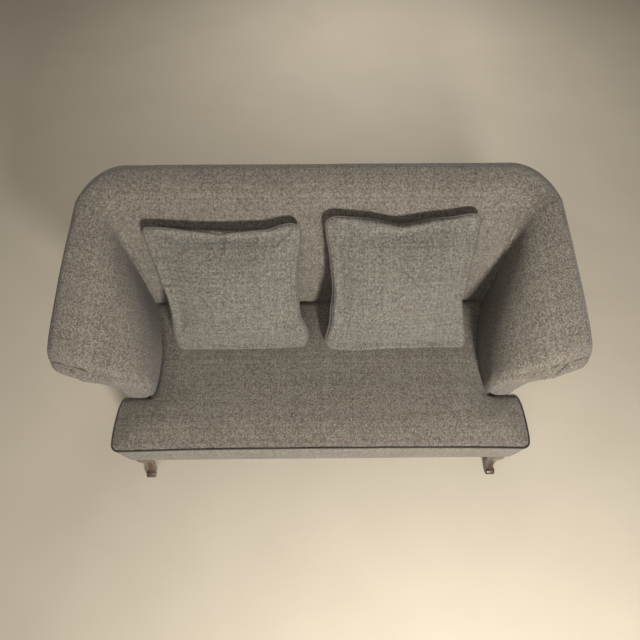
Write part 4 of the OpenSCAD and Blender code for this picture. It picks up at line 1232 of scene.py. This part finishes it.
WALNUT = (0.022, 0.012, 0.008), (0.105, 0.058, 0.036)
BEECH = (0.40, 0.26, 0.14), (0.62, 0.46, 0.29)
walnut = timber("walnut", *WALNUT, (1, 1, 0.09), 0.5, 0.38)
beech_x = timber("beech_across", *BEECH, (0.08, 1, 1), 0.0, 0.6)
beech_z = timber("beech_upright", *BEECH, (1, 1, 0.08), 0.0, 0.6)


def fibre(name, dark, light, scale):
    kit = Maker(name, 0.9, sheen=0.05)
    place = kit.place()
    fine = kit.cloud(place, scale, 3.0, 0.7)
    coarse = kit.cloud(place, scale * 0.08, 2.0)
    return kit.finish(kit.mix(fine * 0.7 + coarse * 0.3, dark, light), fine, 0.0006, 0.6)


jute = fibre("jute", (0.20, 0.13, 0.06), (0.48, 0.35, 0.20), 500.0)
foam = fibre("foam", (0.72, 0.64, 0.44), (0.88, 0.82, 0.62), 300.0)
black_cloth = fibre("black_dust_cloth", (0.008, 0.008, 0.009), (0.030, 0.030, 0.032), 700.0)


def plain_steel():
    kit = Maker("plain_steel", 0.34, metallic=1.0)
    brush = kit.cloud(kit.turned(kit.place(), scale=(1, 1, 30)), 40.0, 3.0)
    colour = kit.mix(brush, (0.30, 0.31, 0.33), (0.52, 0.53, 0.55))
    return kit.finish(colour, brush, 0.0002, 0.3, brush * 0.25 + 0.22)


steel = plain_steel()
FINISH = {
    "leg_wood": walnut, "frame_wood": beech_x, "jute": jute, "padding": foam, "steel": steel,
    "dust_cloth": black_cloth, "cover_fabric": cover_cloth, "pillow_fabric": cover_cloth,
    "welt_fabric": seat_cord_cloth,
}
UPRIGHT = ("post", "corner_blocks")
for part in frame["record"]["subparts"]:
    node = nodes[part["node"]]
    finish = FINISH[part["material_slot"]]
    if finish is beech_x and any(word in part["node"] for word in UPRIGHT):
        finish = beech_z
    for slot in node.material_slots:
        slot.material = finish

# %% [markdown]
# ## The legs
# A front leg narrows as it swings outwards, and ends in a small scroll over the toe. It starts as
# a block whose bottom face is extruded from station to station, and a subdivision surface takes
# the corners off. The scroll is a short drum with a stepped end, united with the foot.

# %% Leg tools
def freeze(thing):
    only(thing)
    bpy.ops.object.transform_apply(location=True, rotation=True, scale=True)


def pick_faces(thing, test):
    """Goes into edit mode with only the faces that pass the test selected."""
    bpy.ops.object.mode_set(mode="EDIT")
    bpy.ops.mesh.select_mode(type="FACE")
    bpy.ops.mesh.select_all(action="DESELECT")
    work = bmesh.from_edit_mesh(thing.data)
    for face in work.faces:
        face.select_set(test(face))
    work.select_flush_mode()
    bmesh.update_edit_mesh(thing.data)


def leg_body(name, stations):
    """Square leg through stations of (x, y, z, width, depth), from the top down."""
    x, y, z, width, depth = stations[0]
    bpy.ops.mesh.primitive_cube_add(size=1, location=(x, y, z - MM), scale=(width, depth, 2 * MM))
    leg = bpy.context.object
    leg.name = name
    freeze(leg)
    pick_faces(leg, lambda f: f.normal.z < -0.9)
    here = (x, y, z - 2 * MM, width, depth)
    for there in stations[1:]:
        step = tuple(b - a for a, b in zip(here[:3], there[:3]))
        bpy.ops.mesh.extrude_region_move(TRANSFORM_OT_translate={"value": step})
        grow = (there[3] / here[3], there[4] / here[4], 1)
        bpy.ops.transform.resize(value=grow, center_override=there[:3])
        here = there
    bpy.ops.object.mode_set(mode="OBJECT")
    all_faces(leg, bpy.ops.mesh.normals_make_consistent, inside=False)
    work = bmesh.new()
    work.from_mesh(leg.data)
    crease = work.edges.layers.float.new("crease_edge")
    for e in work.edges:
        run = e.verts[1].co - e.verts[0].co
        at_top = min(v.co.z for v in e.verts) > z - 3 * MM
        e[crease] = 0.45 if abs(run.z) > 0.7 * run.length else float(at_top)
    work.to_mesh(leg.data)
    work.free()
    return shaped(leg, "SUBSURF", levels=3, render_levels=3)


def scroll(x, y, z, radius, width):
    """Drum across the toe, its ends turned in two steps."""
    bpy.ops.mesh.primitive_cylinder_add(
        vertices=56, radius=radius, depth=width, location=(x, y, z), rotation=(0, math.pi / 2, 0)
    )
    drum = bpy.context.object
    freeze(drum)
    pick_faces(drum, lambda f: abs(f.normal.x) > 0.9)
    for thickness, depth in ((0.26, 0), (0.03, -0.09), (0.24, 0), (0.05, 0.16)):
        bpy.ops.mesh.inset(thickness=thickness * radius, depth=depth * radius)
    bpy.ops.object.mode_set(mode="OBJECT")
    angle = math.radians(40)
    return shaped(
        drum, "BEVEL", width=0.07 * radius, segments=3, limit_method="ANGLE", angle_limit=angle
    )


def united(first, second):
    shaped(first, "BOOLEAN", operation="UNION", solver="EXACT", object=second)
    bpy.data.objects.remove(second)


def finish_leg(leg, node):
    leg.data.materials.clear()
    leg.data.materials.append(walnut)
    bent_smooth(leg, 40)
    dress(leg, "sofa", "leg_wood", node)


print("leg tools ready")

# %% Front and rear legs
LEG_TOP, LEG_W = 277.5 * MM, 47 * MM
GLIDE_T = 3 * MM
FRONT_AT, REAR_AT = (663.2 * MM, -400.2 * MM), (683.35 * MM, 308.38 * MM)
# Height share, outward and forward travel in mm, width and depth as shares of the top
FRONT_STATIONS = [
    (1, 0, 0, 1.0, 1.0), (0.9, 2, -2, 1.02, 1.02), (0.8, 6, -3, 0.98, 0.98),
    (0.62, 14, 0, 0.84, 0.84), (0.4, 25, 3, 0.68, 0.66), (0.2, 34, -4, 0.6, 0.56),
    (0.1, 38, -13, 0.62, 0.64), (0.04, 40, -21, 0.68, 0.74), (0, 40, -23, 0.66, 0.72),
]
REAR_STATIONS = [
    (1, 0, 0, 1.0, 1.0), (0.88, 1, 1, 1.0, 1.0), (0.7, 2.5, 3, 0.94, 0.94),
    (0.4, 10, 19, 0.76, 0.76), (0.15, 19, 41, 0.64, 0.64), (0.02, 25, 55, 0.6, 0.6),
    (0, 25, 55, 0.58, 0.58),
]
TOE_R, TOE_W, TOE_OUT = 15 * MM, 31 * MM, 40 * MM
for side, sign in (("left", -1), ("right", 1)):
    for place, at, table in (("front", FRONT_AT, FRONT_STATIONS), ("rear", REAR_AT, REAR_STATIONS)):
        stations = [
            (sign * (at[0] + out * MM), at[1] + ahead * MM, GLIDE_T + up * (LEG_TOP - GLIDE_T),
             wide * LEG_W, deep * LEG_W)
            for up, out, ahead, wide, deep in table
        ]
        leg = leg_body(f"{place}_{side}_leg_walnut", stations)
        if place == "front":
            toe_x = sign * (at[0] + TOE_OUT)
            united(leg, scroll(toe_x, cad_low.y + TOE_R, GLIDE_T + TOE_R, TOE_R, TOE_W))
        finish_leg(leg, f"{place}_{side}_leg")

# %% [markdown]
# ## The dust cloth underneath
# A black cloth closes the bottom of the frame and sags slightly between its staples. It is a grid
# as wide as the frame at each depth, without the squares round the legs.

# %% Dust cloth
DUST_LOW, DUST_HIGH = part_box("dust_cover")
# Depths, and half the frame's width at each
HALF_WIDTHS = [
    (DUST_LOW.y, 674 * MM), (ARM_Y, 674 * MM), (227 * MM, 756 * MM), (DUST_HIGH.y, 617 * MM),
]
LEG_ROOM = 27 * MM


def over_leg(x, y):
    return any(
        abs(abs(x) - at[0]) < LEG_ROOM and abs(y - at[1]) < LEG_ROOM for at in (FRONT_AT, REAR_AT)
    )


def make_dust_cloth():
    ys = np.linspace(DUST_LOW.y, DUST_HIGH.y, 60)
    columns = np.linspace(-1, 1, 110)
    half = np.interp(ys, *np.array(HALF_WIDTHS).T)
    points = []
    for y, reach in zip(ys, half):
        deep = math.sin(math.pi * (y - ys[0]) / (ys[-1] - ys[0]))
        for c in columns:
            sag = 5 * math.cos(c * math.pi / 2) * deep
            points.append((c * reach, y, DUST_LOW.z + (1.2 - sag) * MM))
    points = np.array(points)
    faces = squares(numbers(len(ys), len(columns)))
    faces = [f for f in faces if not over_leg(*points[f, :2].mean(0))]
    cloth = piece("dust_cloth_black", points, faces, black_cloth, points[:, :2])
    all_faces(cloth, bpy.ops.mesh.delete_loose)
    return hollow(cloth, 0.8 * MM)


dust_cloth = make_dust_cloth()
dress(dust_cloth, "sofa", "dust_cloth", "dust_cover")
print("dust cloth", round(float(DUST_HIGH.y - DUST_LOW.y), 3), "m deep")

# %% [markdown]
# ## The floor
# A plain pale floor carries the sofa and takes its shadow. It isn't part of the object.

# %% Floor
bpy.ops.object.select_all(action="DESELECT")
bpy.ops.mesh.primitive_plane_add(size=14)
floor = bpy.context.object
floor.name = "floor"
floor_kit = Maker("pale_floor", 0.8)
mottle = floor_kit.cloud(floor_kit.place(), 3.0, 4.0)
floor_colour = floor_kit.mix(mottle, (0.44, 0.375, 0.28), (0.50, 0.43, 0.325))
floor.data.materials.append(floor_kit.finish(floor_colour))
print("floor at z = 0")
